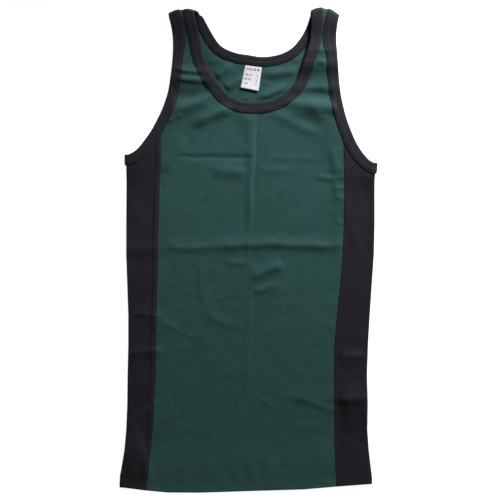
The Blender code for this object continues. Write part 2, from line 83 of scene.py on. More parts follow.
# Columns of a side panel's leg, by their distance from its seam before it is fitted.
SIDE_COLUMNS = np.concatenate([
    (0.0, 0.5, 1.0, 1.6, 2.3, 3.2, 4.2, 5.0, 5.8, 6.6, 7.6), np.linspace(10.0, 46.0, 16),
])
BINDING_PITCH = 1.6
SHOULDER_SEAM_TURN = 0.01  # half the gap of a shoulder seam, as a turn of its fold
HEM_RAMP = 60.0  # length over which the front settles above the hem
SIDE_KEEP = 3.5  # the height no longer changes this close to a side fold
SHOULDER_KEEP = 10.0  # nor this close to the top of a strap
RUN_OUT = 0.3  # share of its length over which each end of a fine crease runs out
FORM_RUN_OUT = 0.2
BUMPS = 0.30  # height of the front's low bumps
BACK_BUMPS = 0.25
DIMPLES = 0.06
HEM_CURL = 3.0  # how far the hem's lower edge stands up
HEM_WAVES = 0.65  # height of the waves above the hem
GROOVE = 0.08  # depth of a side seam and of a row of stitches
ALLOWANCE_HEIGHT = {-1: 0.85, 1: 0.75}
SEAM_PUCKERS = 0.14
HEM_PUCKERS = 0.08
BINDING_PUCKERS = 0.07
HIDDEN_RUN = 700.0  # where the gathers of the neck's hidden leg start

# Outline of the body: columns y, left fold, left seam, right seam, right fold.
BODY = np.array([
    (-352, -187, -148.5, 127.5, 181),
    (-339, -186.5, -146.5, 127.5, 180.5),
    (-327.5, -186, -145, 127.5, 180),
    (-311.5, -183, -143.5, 126.5, 178),
    (-290, -179.5, -141, 125.5, 175.5),
    (-261, -177, -138.5, 125, 173.5),
    (-224.5, -175.5, -136.5, 125, 174),
    (-181, -175, -134, 124.5, 173),
    (-137.5, -174, -133.5, 125.5, 174.5),
    (-94, -174, -133, 129, 177),
    (-50.5, -175.5, -131.5, 133.5, 180),
    (-7, -177, -130.5, 137, 183),
    (36.5, -177, -130, 139, 184),
    (101.5, -176.5, -128, 139.5, 184),
    (124, -177, -126.5, 138.5, 186),
    (145, -177.5, -126.5, 138.5, 186),
    (215, -177.5, -126, 138, 186),
])
# Lower edge of the hem: columns x, y.
HEM = np.array([
    (-186.5, -344.5), (-148, -348.5), (-116, -351.5), (-69.5, -351.8), (0, -349.5),
    (81, -347), (127.5, -343), (180.5, -339.5),
])
# Top of the straps, where the cloth rolls over the shoulders: columns x, y.
CREST_LEFT = np.array([
    (-121, 340.4), (-114, 344.3), (-107, 347.6), (-99, 349.7), (-90, 350.4),
    (-81, 349), (-74, 347), (-67, 344.6),
])
CREST_RIGHT = np.array([
    (84, 343.4), (90, 347), (97, 350.2), (105, 352), (113, 351.4),
    (121, 348.6), (128, 344.2), (135, 339),
])
# Finished edges, from shoulder to shoulder or from shoulder to side fold: columns x, y.
NECK_LOW_X = 8.5  # where the front's neckline is lowest
FRONT_NECK = np.array([
    (-78.5, 344), (-76.5, 334), (-71.5, 314), (-68, 296), (-63, 275.5),
    (-51.5, 252.5), (-32, 228), (-17.5, 218.5), (-4.5, 214.8), (8.5, 214),
    (26, 215.5), (40.5, 220), (57, 230.5), (70.5, 246), (81, 273.5),
    (89, 300.5), (92, 322), (93, 343.5),
])
BACK_NECK = np.array([
    (-70.2, 342), (-65.2, 337.5), (-60, 327.8), (-46.5, 304.5), (-35.5, 293.5),
    (-17.5, 286), (0, 283), (17.5, 280.3), (29, 280.5), (46.5, 284),
    (61, 291), (71, 300.5), (80, 313), (86.5, 326.5), (91, 341.5),
])
LEFT_ARMHOLE = np.array([
    (-114.5, 339), (-109.8, 316), (-108.5, 296), (-109.5, 275.5), (-112, 252.5),
    (-116, 229), (-123.5, 206), (-132, 188), (-140.5, 172.5), (-149.5, 160),
    (-158, 149), (-167, 141.5), (-174, 138.5),
])
RIGHT_ARMHOLE = np.array([
    (130.5, 335.5), (128.3, 319), (127.5, 304.5), (129, 284.5), (131, 258),
    (133.5, 232), (137.5, 210.5), (143, 190), (150, 171), (158, 153.5),
    (167, 140), (175.5, 130.5), (182.5, 126.5),
])
# The solids' creases, soft ridges along bent lines through three points:
# columns x and y of start, middle and end, half width, height.
FORM_CREASES = np.array([
    (11, 190, 7.5, 120, 5.5, 45, 5, 0.6),
    (4.5, -15, 1.5, -90, -2.5, -200, 5, 0.5),
    (-103, 141, -55, 141, -7, 139, 6, 0.15),
    (20, 133, 75, 134.5, 133, 132, 6, 0.2),
    (-128, 7, -80, 5.5, -10, 8, 10, 1.1),
    (-55, 8, 40, 11.5, 150, 4, 9, 1.7),
    (0, -34, 26, -29, 52, -19, 9, 1.2),
    (2, -57, 30, -60, 62, -52, 9, 0.5),
    (-171, -90, -135, -94, -98, -116, 10, 0.7),
    (-98, -116, -66, -136, -4, -135, 9, 0.12),
    (-62, -10, -67, -55, -58, -88, 9, 0.4),
    (-58, -88, -46, -107, -4, -108.5, 9, 0.4),
    (7, -207, 20, -219, 38, -230, 8, 0.25),
    (58, -205, 105, -211, 171, -214, 12, 0.9),
    (124, -124, 140, -127, 171, -124, 9, 0.4),
    (128, -156, 150, -155, 171, -156, 9, 1.4),
    (-171, -149, -152, -150, -118, -145, 9, 0.8),
    (-112, 190, -84, 209, -48, 221, 10, 3.2),
    (44, 206, 80, 209, 124, 197, 12.5, 4),
])
# Creases across whole straps, bindings and all: the same columns.
STRAP_CREASES = np.array([
    (-118, 336, -95, 339, -70, 336, 20, 3.4),
    (82, 337, 106, 340, 134, 334, 30, 6.6),
    (82, 287, 106, 289, 132, 285, 17, 3.6),
    (-112, 262, -90, 263, -64, 259, 6, 1.8),
    (-116, 249, -90, 251, -58, 246, 8, 1.8),
    (88, 288, 108, 291, 130, 287, 6, 0.6),
    (80, 268, 104, 270, 130, 266, 11, 3.3),
    (74, 234, 100, 237, 130, 233, 8, 1.2),
    (-122, 231, -100, 228, -84, 226, 9, -0.8),
    (104, 231, 124, 229, 142, 224, 8, -0.7),
])
# Finer creases of the front, with ends that run out: the same columns.
FRONT_CREASES = np.array([
    # straps
    (-108, 260, -88, 261, -66, 258, 3.2, 1.7),
    (-108, 248, -86, 249, -58, 245, 3.8, 2.1),
    (-120, 220, -86, 223, -46, 227, 9, -2.2),
    (78, 228, 104, 227, 134, 221, 6.5, -1.1),
    (99, 291, 107, 289, 116, 291, 3.5, 0.8),
    (99, 273, 107, 272, 116, 273, 3.5, 1.4),
    (76, 233, 99, 237, 122, 234, 5, 0.9),
    # beside the neck
    (-118, 190, -86, 214, -44, 228, 6, 3.5),
    (-84, 178, -54, 199, -16, 208, 8, 4.3),
    (-118, 184, -107, 191, -92, 197, 3.6, 1.6),
    (40, 212, 92, 217, 150, 199, 8, 3.3),
    (28, 204, 60, 185, 112, 164, 8, 1.8),
    (-18, 205, -4, 197, 2, 176, 9, 0.8),
    (20, 203, 14, 190, 12, 172, 5, -0.4),
    # pressed line down the middle, steep to its right
    (5, 206, 4, 160, 2, 112, 8, 1.4),
    (5, 150, 3, 90, 1.5, 14, 5, 1.1),
    (14.6, 212, 10.6, 130, 6.6, 24, 2.6, -1.3),
    (-8, 74, -6, 52, -5, 18, 4, -0.5),
    (3, 46, 1, 20, 0, -40, 2.6, 0.5),
    (-1, -8, -4, -80, -5.5, -205, 1.6, 0.25),
    (5, -10, 2.5, -80, 0, -205, 1.8, 0.25),
    # pressed line across the chest
    (-128, 135.2, -50, 134.8, 28, 133, 3, -1.15),
    (14, 134, 60, 134.5, 112, 132.5, 2.6, 0.4),
    (-60, 116, -27, 116, 4, 111, 9, 2.3),
    (10, 117, 36, 117, 66, 113, 6, 0.8),
    # pulled at the side seams
    (119, 154, 125, 127, 139, 103, 6.5, 1.8),
    (123, 134, 128, 100, 130, 60, 6, 1.5),
    (129, 92, 130, 40, 128, -34, 6, 0.7),
    (94, 108, 112, 106, 130, 98, 4, 1),
    (124, 104, 131, 104, 141, 106, 3, 0.8),
    (122, 91, 132, 89, 141, 90, 3, 0.9),
    (126, 76, 132, 75, 139, 78, 3, 0.5),
    (128, 45, 133, 40, 139, 36, 3, 0.6),
    (-88, 163, -104, 141, -128, 110, 7, 2),
    (-130, 104, -126, 96, -121, 84, 3, -0.6),
    # the large fold across the waist
    (-50, 5, 0, 7.5, 46, 9, 5, 0.8),
    (10, 9, 58, 8, 112, 5.5, 5, 0.9),
    (-132, 3, -80, 3.5, -26, 5, 4.5, 0.7),
    (88, 5.5, 120, 7.5, 142, 7.5, 4.5, 0.8),
    # below it
    (-2, -42, 26, -33, 56, -18, 6.5, 1.6),
    (4, -61, 25, -57, 48, -48, 4.8, 0.9),
    (-36, -16, -18, -18, 0, -21, 4, 0.8),
    (-68, -14, -71, -45, -67, -78, 3.2, 0.5),
    (-66, -76, -60, -106, -4, -112, 5, 0.36),
    (-58, -70, -42, -79, -20, -84, 4, -0.2),
    (-40, -76, -26, -84, -14, -80, 5, 0.35),
    (22, -84, 44, -72, 84, -78, 6, 0.4),
    (-182, -90, -148, -93, -118, -96, 1.8, 0.8),
    (-132, -96, -106, -118, -62, -134, 2, 0.4),
    (4, -205, 20, -217, 38, -231, 2, 0.45),
    (46, -210, 88, -213, 138, -241, 6, 1),
    (18, -202, 24, -204, 30, -207, 5, 0.5),
    (110, -100, 118, -108, 127, -122, 5, 0.6),
    (-60, -190, -30, -176, 0, -172, 8, 0.3),
    (60, -262, 92, -252, 120, -262, 8, 0.35),
    (-120, -250, -84, -262, -40, -256, 9, 0.3),
    # side panels
    (-184, 2, -156, 0, -124, 4, 8.5, 1.7),
    (-182, -150, -156, -148, -122, -144, 4, 0.9),
    (-178, -266, -160, -238, -140, -224, 7, 1.3),
    (-176, -196, -160, -198, -140, -192, 7, 0.6),
    (-178, 92, -164, 70, -150, 20, 8, 0.5),
    (118, -218, 148, -216, 190, -213, 7, 1.6),
    (128, -221, 158, -221, 190, -218, 36, 4.6),
    (138, 140, 142, 95, 144, 20, 10, 1.6),
    (168, 130, 172, 60, 170, -60, 8, -0.9),
    (-188, -302, -166, -294, -144, -288, 32, 3.4),
    (140, -152, 158, -153, 176, -151, 5, 1),
    (138, -166, 158, -168, 178, -166, 15, 1),
    (146, 118, 160, 90, 174, 20, 6, 0.7),
    (148, 40, 158, 10, 172, -30, 6, 0.5),
    (134, -270, 150, -282, 172, -296, 7, 0.6),
])
# Wrinkles of the back's inside where the neck shows it: the same columns.
BACK_CREASES = np.array([
    (18, 254, 48, 255, 78, 263, 6, 2.6),
    (10, 215, 35, 229, 66, 238, 6.5, 2.9),
    (18, 243, 26, 241, 34, 242, 3, 0.7),
    (-38, 232, -21, 242, -4, 252, 6, 2.9),
    (-56, 244, -38, 258, -20, 271, 6, 2.9),
    (-66, 269, -54, 271, -44, 280, 3.2, 1.3),
    (-60, 245, -52, 248, -44, 254, 3.2, 1),
    (-44, 232, -34, 226, -24, 222, 3, 0.7),
    (-22, 214, -8, 219, 6, 219, 3.5, 1),
    (62, 274, 72, 276, 84, 284, 3, 1.2),
    (74, 246, 80, 250, 86, 258, 3.5, 0.9),
])
# The same under the front and on the hidden back, long and low.
HIDDEN_CREASES = np.array([
    (-120, 60, -20, 72, 96, 58, 12, 0.135),
    (-110, -40, 0, -30, 110, -48, 14, 0.12),
    (-100, -140, 10, -128, 100, -150, 12, 0.135),
    (-110, -240, -10, -252, 96, -236, 14, 0.12),
    (4, 180, 2, 40, -4, -220, 8, 0.12),
])
# The label: its corners, upper left and right, then lower left and right, and its size.
LABEL_CORNERS = ((-3.4, 270.8), (20.5, 267.9), (-10.9, 235.8), (15.2, 230.7))
LABEL_SIZE = (24, 35)
LABEL_LIFT = 1.9  # above the back's middle
TAPE_WALL = 0.3
PRINT_LIFT = 0.17  # above the label's middle

# Sewing.
TWIN_ROWS = (7.2, 12.3)  # of a binding, from its finished edge
HEM_TWIN = (16.0, 21.0)  # of the hem, from its lower edge
STITCH = 2.3  # length
STITCH_PITCH = 2.75
THREAD = 0.26  # radius
RING = 6  # points round a thread
ALLOWANCE = 5.6  # width of the seam allowance, under the side panels
BINDING_JOIN = -22.3  # x of the join in the back neck's binding
INNER_LEG = 0.87  # width of a binding's inner leg where it is seen, to the outer one's
SIDE_SOFT = 1.6  # how many times wider than high the side folds are
FOLD_LEAN = 0.4  # how far the shoulder folds face square to their crests, 0 to 1
FOLD_OUT = 0.4  # how far a binding's fold stands out from the finished edge
STAND = 0.9  # how far the back neck's edge stands up
ARM_WIDE = 0.22  # share by which the armhole bindings are wider on the straps
NECK_WIDE = 0.03  # and the neck's
SHOULDER_BLEND = 16.0  # length over which a binding's rows turn to lie along the shoulder
# Places across a binding's leg, by their distance from the finished edge.
LEG = np.array((
    15.6, 15.3, 14.8, 14.2, 13.6, 13.0, 12.6, 12.3, 12.0, 11.5, 10.8, 10.0,
    9.2, 8.4, 7.8, 7.5, 7.2, 6.9, 6.4, 5.6, 4.7, 3.8, 2.9, 2.3,
))


# ---- lines and ramps ----

def smooth(table, step=5.0):
    """Points every step or so along the Catmull-Rom curve through a table's points."""
    ends = np.vstack([2 * table[0] - table[1], table, 2 * table[-1] - table[-2]])
    found = []
    for before, start, end, after in zip(ends, ends[1:], ends[2:], ends[3:]):
        count = max(2, round(hypot(*(end - start)) / step))
        for share in np.arange(count) / count:
            found.append(0.5 * (
                2 * start + (end - before) * share
                + (2 * before - 5 * start + 4 * end - after) * share**2
                + (3 * start - before - 3 * end + after) * share**3
            ))
    return np.array(found + [table[-1]])


def runs(line):
    """How far along a line each of its points is."""
    return np.concatenate([[0.0], np.cumsum(np.hypot(*np.diff(line, axis=0).T))])


def spaced(line, pitch):
    """The line again, as points the same distance apart, close to the pitch."""
    run = runs(line)
    places = np.linspace(0.0, run[-1], max(2, round(run[-1] / pitch) + 1))
    return np.column_stack([np.interp(places, run, line[:, k]) for k in (0, 1)])


def split(line, times=SPLITS):
    """The line again with each step halved, as often as a panel's triangles are."""
    for _ in range(times):
        finer = np.empty((2 * len(line) - 1, line.shape[1]))
        finer[::2] = line
        finer[1::2] = (line[:-1] + line[1:]) / 2
        line = finer
    return line


def inward(line):
    """Unit vectors square to a line, to its left as it runs."""
    along = np.gradient(line, axis=0)
    along /= np.hypot(*along.T)[:, None]
    return np.column_stack([-along[:, 1], along[:, 0]])


def nearest(line, x, y):
    """How far points are from a line, and the share of its length where it is nearest."""
    run = runs(line)
    near, place = np.full(np.shape(x), np.inf), np.zeros(np.shape(x))
    for k, ((x0, y0), (x1, y1)) in enumerate(zip(line, line[1:])):
        along_x, along_y = x1 - x0, y1 - y0
        share = ((x - x0) * along_x + (y - y0) * along_y) / (along_x**2 + along_y**2)
        share = np.clip(share, 0.0, 1.0)
        far = np.hypot(x0 + share * along_x - x, y0 + share * along_y - y)
        closer = far < near
        near = np.where(closer, far, near)
        place = np.where(closer, run[k] + share * (run[k + 1] - run[k]), place)
    return near, place / run[-1]


def distance(line, x, y):
    return nearest(line, x, y)[0]


def fade(far, level, ramp):
    """1 up to the level's end, then smoothly down to 0 over the ramp."""
    share = np.clip((far - level) / ramp, 0.0, 1.0)
    return 1 - share * share * (3 - 2 * share)


def bell(far, width):
    """1 where far is 0, and almost 0 from twice the width on."""
    return np.exp(-(far / width)**2)


NECK_FRONT = smooth(FRONT_NECK)[::-1]
NECK_BACK = smooth(BACK_NECK)[::-1]
ARM_LEFT = smooth(LEFT_ARMHOLE)
ARM_RIGHT = smooth(RIGHT_ARMHOLE)[::-1]
CREST = np.vstack([smooth(CREST_LEFT), smooth(CREST_RIGHT)])
UPPER_HALF = CREST[:, 1].max() / 2  # only the straps are above this height
FRONT_EDGES = (NECK_FRONT, ARM_LEFT, ARM_RIGHT)
BACK_EDGES = (NECK_BACK, ARM_LEFT, ARM_RIGHT)


def fold_x(side, y):
    """Outline of the body at a side, -1 left or 1 right."""
    return np.interp(y, BODY[:, 0], BODY[:, 1 if side < 0 else 4])


def seam_x(side, y):
    return np.interp(y, BODY[:, 0], BODY[:, 2 if side < 0 else 3])


def hem_y(x):
    return np.interp(x, HEM[:, 0], HEM[:, 1])


def crest_y(x):
    return np.interp(x, CREST[:, 0], CREST[:, 1])


def body_x(share, y, clear=0.0):
    """Across the body between its side seams, from share 0 at the left to 1."""
    left, right = seam_x(-1, y) + clear, seam_x(1, y) - clear
    return left + (right - left) * share


# ---- heights of the cloth's middle above the surface ----

def bent(row, count=11):
    """The points of a crease's line."""
    t = np.linspace(0.0, 1.0, count)[:, None]
    return (1 - t)**2 * row[0:2] + 2 * t * (1 - t) * row[2:4] + t * t * row[4:6]


def relief(table, x, y, run_out):
    """Height that creases add, with ends that run out over this share of their length."""
    total = np.zeros(np.shape(x))
    x, y = x + 0.5 * np.sin(y / 13 + 2 * np.sin(x / 33)), y + wobble(x, y)
    for row in table:
        line, width = bent(row), row[6]
        low, high = line.min(axis=0) - 3 * width, line.max(axis=0) + 3 * width
        close = (x > low[0]) & (x < high[0]) & (y > low[1]) & (y < high[1])
        if not np.any(close):
            continue
        far, place = nearest(line, x[close], y[close])
        ends = 1.0
        if run_out:
            ends = 1 - fade(np.minimum(place, 1 - place), 0.0, run_out)
        total[close] += row[7] * ends * bell(far, width)
    return total


def wobble(x, y):
    """How far creases stray from an even course."""
    return 0.8 * np.sin(x / 9.3 + 1.4 * np.sin(x / 21 + y / 40)) * np.sin(x / 37 + 0.9)


def mottle(x, y):
    """Shallow dimples a finger wide, longer across than up, from -1 to 1 or so."""
    return (
        0.6 * np.sin(x / 3.1 + 1.9 * np.sin(y / 13)) * np.sin(y / 2.1 + 1.7 * np.sin(x / 15))
        + 0.4 * np.sin(x / 4.7 - y / 9) * np.sin(y / 2.9 + x / 11 + 2)
    )


def ripple(x, y):
    """Low uneven bumps of cloth that was laid by hand, from -1 to 1 or so."""
    return (
        0.30 * np.sin(x / 7.1 + 1.3 * np.sin(y / 23)) * np.sin(y / 9.3 + 0.8)
        + 0.25 * np.sin(x / 12.7 + y / 31 + 2) * np.sin(y / 14.9 - x / 41)
        + 0.25 * np.sin(x / 19 - y / 27) * np.sin(y / 22 + 1.1 * np.sin(x / 37))
        + 0.20 * np.sin(x / 5.3 - y / 11 + 4) * np.sin(y / 6.1 + x / 17)
    )


def puckers(along):
    """Uneven small gathers along a seam, from -1 to 1 or so."""
    beat = 0.6 + 0.4 * np.sin(along / 23 + 2 * np.sin(along / 61))
    return beat * (
        0.55 * np.sin(along / 1.55 + 1.7 * np.sin(along / 9)) + 0.45 * np.sin(along / 2.6 + 1)
    )


def inside_folds(x, y):
    """The points themselves, or the nearest ones that are clear of the folds."""
    x = np.clip(x, fold_x(-1, y) + SIDE_KEEP, fold_x(1, y) - SIDE_KEEP)
    return x, np.minimum(y, crest_y(x) - SHOULDER_KEEP)


def edge_share(gaps, ramp):
    """1 on the bindings of edges, down to 0 where all of them are far away."""
    free = 1.0
    for gap in gaps:
        free = free * (1 - fade(gap, BINDING_WIDTH + LEVEL, ramp))
    return 1 - free


def hem_share(x, y, ramp=OWN_RAMP):
    return fade(y - hem_y(x), HEM_DEPTH + LEVEL, ramp)


def seam_form(x, y):
    """The dip of the side seams, the allowance under the side panels, and puckers."""
    total = np.zeros(np.shape(x))
    for side in (-1, 1):
        out = side * (x - seam_x(side, y))
        total -= GROOVE * bell(out, 1.0)
        along = np.clip(out / ALLOWANCE, 0.0, 1.0)
        share = along * fade(out, ALLOWANCE, 1.6)
        if side > 0:
            share = (1 - along) * (1 - fade(out, 0.0, 1.4))
        total += ALLOWANCE_HEIGHT[side] * share
        total += SEAM_PUCKERS * puckers(y + 40 * side) * bell(out, 7.0)
    return total


def hem_form(x, y):
    """The hem's two grooves, its puckers, and its lower edge that stands up a little."""
    up = y - hem_y(x)
    total = HEM_CURL * np.exp(-np.clip(up, 0.0, None) / HEM_DEPTH)
    for row in HEM_TWIN:
        total = total - GROOVE * bell(up - row, 0.9)
    total += HEM_PUCKERS * puckers(x * 1.07 + 9) * bell(up - 19, 7.0)
    waves = np.sin(x / 5.1 + 1.7 * np.sin(x / 19)) * (0.6 + 0.4 * np.sin(x / 43 + 1))
    return total + HEM_WAVES * waves * bell(up - 27, 13.0)


def back_height(x, y):
    """The back lies on the surface, and on its bindings' lower legs near its edges."""
    x, y = inside_folds(x, y)
    gaps = [distance(edge, x, y) for edge in BACK_EDGES]
    own = edge_share(gaps, OWN_RAMP)
    seen = in_neck(x, y)
    bare = 1 - fade(np.min(gaps, axis=0), BINDING_WIDTH - 6, 8.0)
    inside = seen * (1 - fade(distance(NECK_FRONT, x, y), 0.5, 9.0)) * bare
    wrinkles = relief(BACK_CREASES, x, y, RUN_OUT) + BACK_BUMPS * (1 + ripple(x + 60, y))
    hidden = (1 - own) * (1 - hem_share(x, y)) * (1 - seen)
    form = CLOTH / 2 + PLY * own + inside * wrinkles
    return form + hidden * relief(HIDDEN_CREASES, x, y, RUN_OUT)


def in_neck(x, y):
    """1 where the front's neck is open, 0 elsewhere."""
    at_right = NECK_FRONT[:, 0] > NECK_LOW_X
    left, right = (
        np.interp(y, *side[np.argsort(side[:, 1])][:, ::-1].T)
        for side in (NECK_FRONT[~at_right], NECK_FRONT[at_right])
    )
    return ((y > NECK_FRONT[:, 1].min()) & (x > left) & (x < right)).astype(float)


def front_height(x, y):
    """The front lies on the back, its bindings and its hem, and is creased."""
    x, y = inside_folds(x, y)
    neck, left, right = (distance(edge, x, y) for edge in FRONT_EDGES)
    over = edge_share((distance(NECK_BACK, x, y), left, right), OVER_RAMP)
    own = edge_share((neck, left, right), OWN_RAMP)
    hem = hem_share(x, y, HEM_RAMP)
    form = CLOTH / 2 + PLY + 2 * PLY * over + PLY * own + 2 * PLY * hem
    form += (1 - hem) * ((1 - own) * LOFT + relief(STRAP_CREASES, x, y, 0.0))
    bare = 1 - fade(np.minimum(np.minimum(neck, left), right), 6.0, 9.0)  # off the bindings
    strap = fade(crest_y(x) - y, 4.0, 30.0)  # 1 at the top of the straps
    main = (1 - own) * (1 - hem_share(x, y)) * relief(FORM_CREASES, x, y, FORM_RUN_OUT)
    fine = relief(FRONT_CREASES, x, y, RUN_OUT) + BUMPS * ripple(x, y) + DIMPLES * mottle(x, y)
    form += main + bare * (1 - strap) * (1 - fade(y - hem_y(x), 3.0, 20.0)) * fine
    return form + bare * seam_form(x, y) + hem_form(x, y)


# ---- places on the cloth, lifted outwards from its middle ----

def stack(x, y, z):
    return np.stack(np.broadcast_arrays(x, y, z), axis=-1)


def on_front(x, y, lift=0.0):
    return stack(x, y, front_height(x, y) + lift)


def on_back(x, y, lift=0.0):
    return stack(x, y, back_height(x, y) - lift)


def side_roll(side, y):
    """Radius, middle height and start of the side fold at y."""
    x = fold_x(side, y)
    top, bottom = front_height(x, y), back_height(x, y)
    radius = (top - bottom) / 2
    return radius, (top + bottom) / 2, x - side * (CLOTH / 2 + SIDE_SOFT * radius)


def on_side_fold(side, y, turn, lift=0.0):
    """Points of a side fold, from the front at turn 0 to the back at turn pi."""
    radius, middle, start = side_roll(side, y)
    radius = radius + lift
    out = side * SIDE_SOFT * radius * np.sin(turn)
    return stack(start + out, y, middle + radius * np.cos(turn))


def shoulder_roll(x):
    """Radius, middle height, start and level direction of the shoulder fold at x."""
    top, bottom = front_height(x, crest_y(x)), back_height(x, crest_y(x))
    radius = (top - bottom) / 2
    slope = (crest_y(x + 1) - crest_y(x - 1)) / 2
    lean = FOLD_LEAN * slope
    size = np.hypot(1.0, lean)
    start = crest_y(x) - (radius + PLY + CLOTH / 2) * (1 + lean * slope) / size
    return radius, (top + bottom) / 2, start, -lean / size, 1.0 / size


def shoulder_start(x):
    return shoulder_roll(np.asarray(x, float))[2]


def on_shoulder_fold(x, turn, lift=0.0, drop=0.0):
    """Points of a shoulder fold, from the front at turn 0 to the back at turn pi."""
    radius, middle, start, ahead_x, ahead_y = shoulder_roll(x)
    out = (radius + lift) * np.sin(turn)
    return stack(
        x + ahead_x * out, start + drop + ahead_y * out, middle + (radius + lift) * np.cos(turn)
    )


# ---- meshes ----

def new_piece(name, points, faces, uvs, material, node=None, wall=SHEET):
    """A piece of the garment from points in millimetres, welded and thickened if it has a wall."""
    mesh = bpy.data.meshes.new(name)
    mesh.from_pydata(((points - FOOTPRINT_MIDDLE) * MM).tolist(), [], faces)
    corners = np.zeros(len(mesh.loops), np.int32)
    mesh.loops.foreach_get("vertex_index", corners)
    layer = mesh.uv_layers.new(name="cloth")
    layer.data.foreach_set("uv", (uvs[corners] * MM).astype(np.float32).ravel())
    if wall:
        bm = bmesh.new()
        bm.from_mesh(mesh)
        bmesh.ops.remove_doubles(bm, verts=bm.verts, dist=WELD * MM)
        bmesh.ops.recalc_face_normals(bm, faces=bm.faces)
        bm.to_mesh(mesh)
        bm.free()
    mesh.shade_smooth()
    mesh.materials.append(MATERIALS[material])
    piece = bpy.data.objects.new(name, mesh)
    bpy.context.scene.collection.objects.link(piece)
    if wall:
        solidify = piece.modifiers.new("wall", "SOLIDIFY")
        solidify.thickness = wall * MM
        solidify.offset = 0.0
        solidify.use_even_offset = False
    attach(piece, BODY_NAME)
    if node:
        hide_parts(node)
    return piece


def woven(name, points, uvs, material, node, wall=SHEET):
    """A piece from rows of points, each as long as the next."""
    return new_piece(
        name, points.reshape(-1, 3), grid_faces(*points.shape[:2]).tolist(), uvs.reshape(-1, 2),
        material, node, wall,
    )


def grid_faces(rows, columns, first=0):
    """Quads between rows of points that are stored one row after another."""
    row, column = np.meshgrid(np.arange(rows - 1), np.arange(columns - 1), indexing="ij")
    corner = first + row * columns + column
    return np.stack([
        corner, corner + 1, corner + columns + 1, corner + columns
    ], axis=-1).reshape(-1, 4)


def refined(points, faces):
    """Each triangle split into four."""
    pairs = np.vstack([faces[:, [0, 1]], faces[:, [1, 2]], faces[:, [2, 0]]])
    known, place = np.unique(np.sort(pairs, axis=1), axis=0, return_inverse=True)
    middle = (points[known[:, 0]] + points[known[:, 1]]) / 2
    ab, bc, ca = place.reshape(3, -1) + len(points)
    a, b, c = faces.T
    corners = [(a, ab, ca), (ab, b, bc), (ca, bc, c), (ab, bc, ca)]
    return np.vstack([points, middle]), np.vstack([np.column_stack(part) for part in corners])


def crosses(outline, x, y):
    """Whether points are inside an outline."""
    inside = np.zeros(np.shape(x), bool)
    for (x0, y0), (x1, y1) in zip(outline, np.roll(outline, -1, axis=0)):
        if y0 != y1:
            spans = (y0 > y) != (y1 > y)
            inside ^= spans & (x0 + (y - y0) / (y1 - y0) * (x1 - x0) > x)
    return inside


def thinned(points, rooms):
    """The points in their order, without those too close to one already kept."""
    cell, kept, seen = PITCH, [], {}
    for (x, y), room in zip(points, rooms):
        column, row = int(x // cell), int(y // cell)
        around = [seen.get((column + i, row + j), ()) for i in (-1, 0, 1) for j in (-1, 0, 1)]
        if all(hypot(x - u, y - v) > room for group in around for u, v in group):
            seen.setdefault((column, row), []).append((x, y))
            kept.append((x, y))
    return kept


def field(outline, inner):
    """Fine triangles that fill a flat outline through the inner points."""
    corners = [Vector(point) for point in outline]
    sides = [(k, (k + 1) % len(corners)) for k in range(len(corners))]
    flat, _, faces, *_ = delaunay_2d_cdt(
        corners + [Vector(point) for point in inner], sides, [], 1, 1e-5
    )
    points, faces = np.array(flat, float), np.array(faces)
    for _ in range(SPLITS):
        points, faces = refined(points, faces)
    return points, faces


# ---- panels ----

def arm_edge(side):
    """An armhole's raw edge, from the shoulder to the side fold."""
    line = ARM_LEFT if side < 0 else ARM_RIGHT
    line = line + inward(line) * EDGE_INSIDE
    return line if side < 0 else line[::-1]


def over_seam(side, line):
    """Which points of a line lie between the two side seams."""
    return side * (seam_x(side, line[:, 1]) - line[:, 0]) > 0


def seam_top(side):
    """Where a side seam meets the armhole's raw edge."""
    line = arm_edge(side)
    return line[over_seam(side, line)][-1][1]


def hem_start(share):
    """Where the hem of a front or back panel starts to fold."""
    return hem_y(body_x(share, HEM[0, 1])) + HEM_OUT


def seam_line(side, away=0.0):
    """A panel's edge along a side seam, or a row beside it, from the hem up."""
    share = 0.0 if side < 0 else 1.0
    count = round((seam_top(side) - hem_start(share)) / EDGE_PITCH)
    y = np.linspace(hem_start(share), seam_top(side), count + 1)
    return np.column_stack([body_x(share, y, SEAM_CLEAR + away), y])


def hem_line():
    shares = np.linspace(0.0, 1.0, 46)
    start = hem_start(shares)
    return np.column_stack([body_x(shares, start, SEAM_CLEAR), start])


def strap_line(side, neck):
    """Across a strap at the start of the shoulder fold, from the armhole to the neck."""
    outer = arm_edge(side)[0][0]
    inner = neck[-1 if side < 0 else 0][0] + side * EDGE_INSIDE
    x = np.linspace(outer, inner, 8)
    return np.column_stack([x, shoulder_start(x)])


def panel_outline(neck):
    """A front or back panel from the hem's fold to the shoulder folds."""
    right, left = arm_edge(1), arm_edge(-1)
    throat = spaced(neck + inward(neck) * EDGE_INSIDE, EDGE_PITCH)
    return np.vstack([
        hem_line(),
        seam_line(1)[1:-1],
        spaced(right[over_seam(1, right)][::-1], EDGE_PITCH)[:-1],
        strap_line(1, neck),
        throat[1:-1],
        strap_line(-1, neck)[::-1],
        spaced(left[over_seam(-1, left)], EDGE_PITCH)[1:],
        seam_line(-1)[::-1][1:-1],
    ])


def lattice():
    """A triangular lattice over the whole garment."""
    found = []
    for row, y in enumerate(np.arange(HEM[:, 1].min(), CREST[:, 1].max(), 0.866 * PITCH)):
        x = np.arange(BODY[:, 1].min() + PITCH / 2 * (row % 2), BODY[:, 4].max(), PITCH)
        found.append(np.column_stack([x, np.full(len(x), y)]))
    return np.vstack(found)


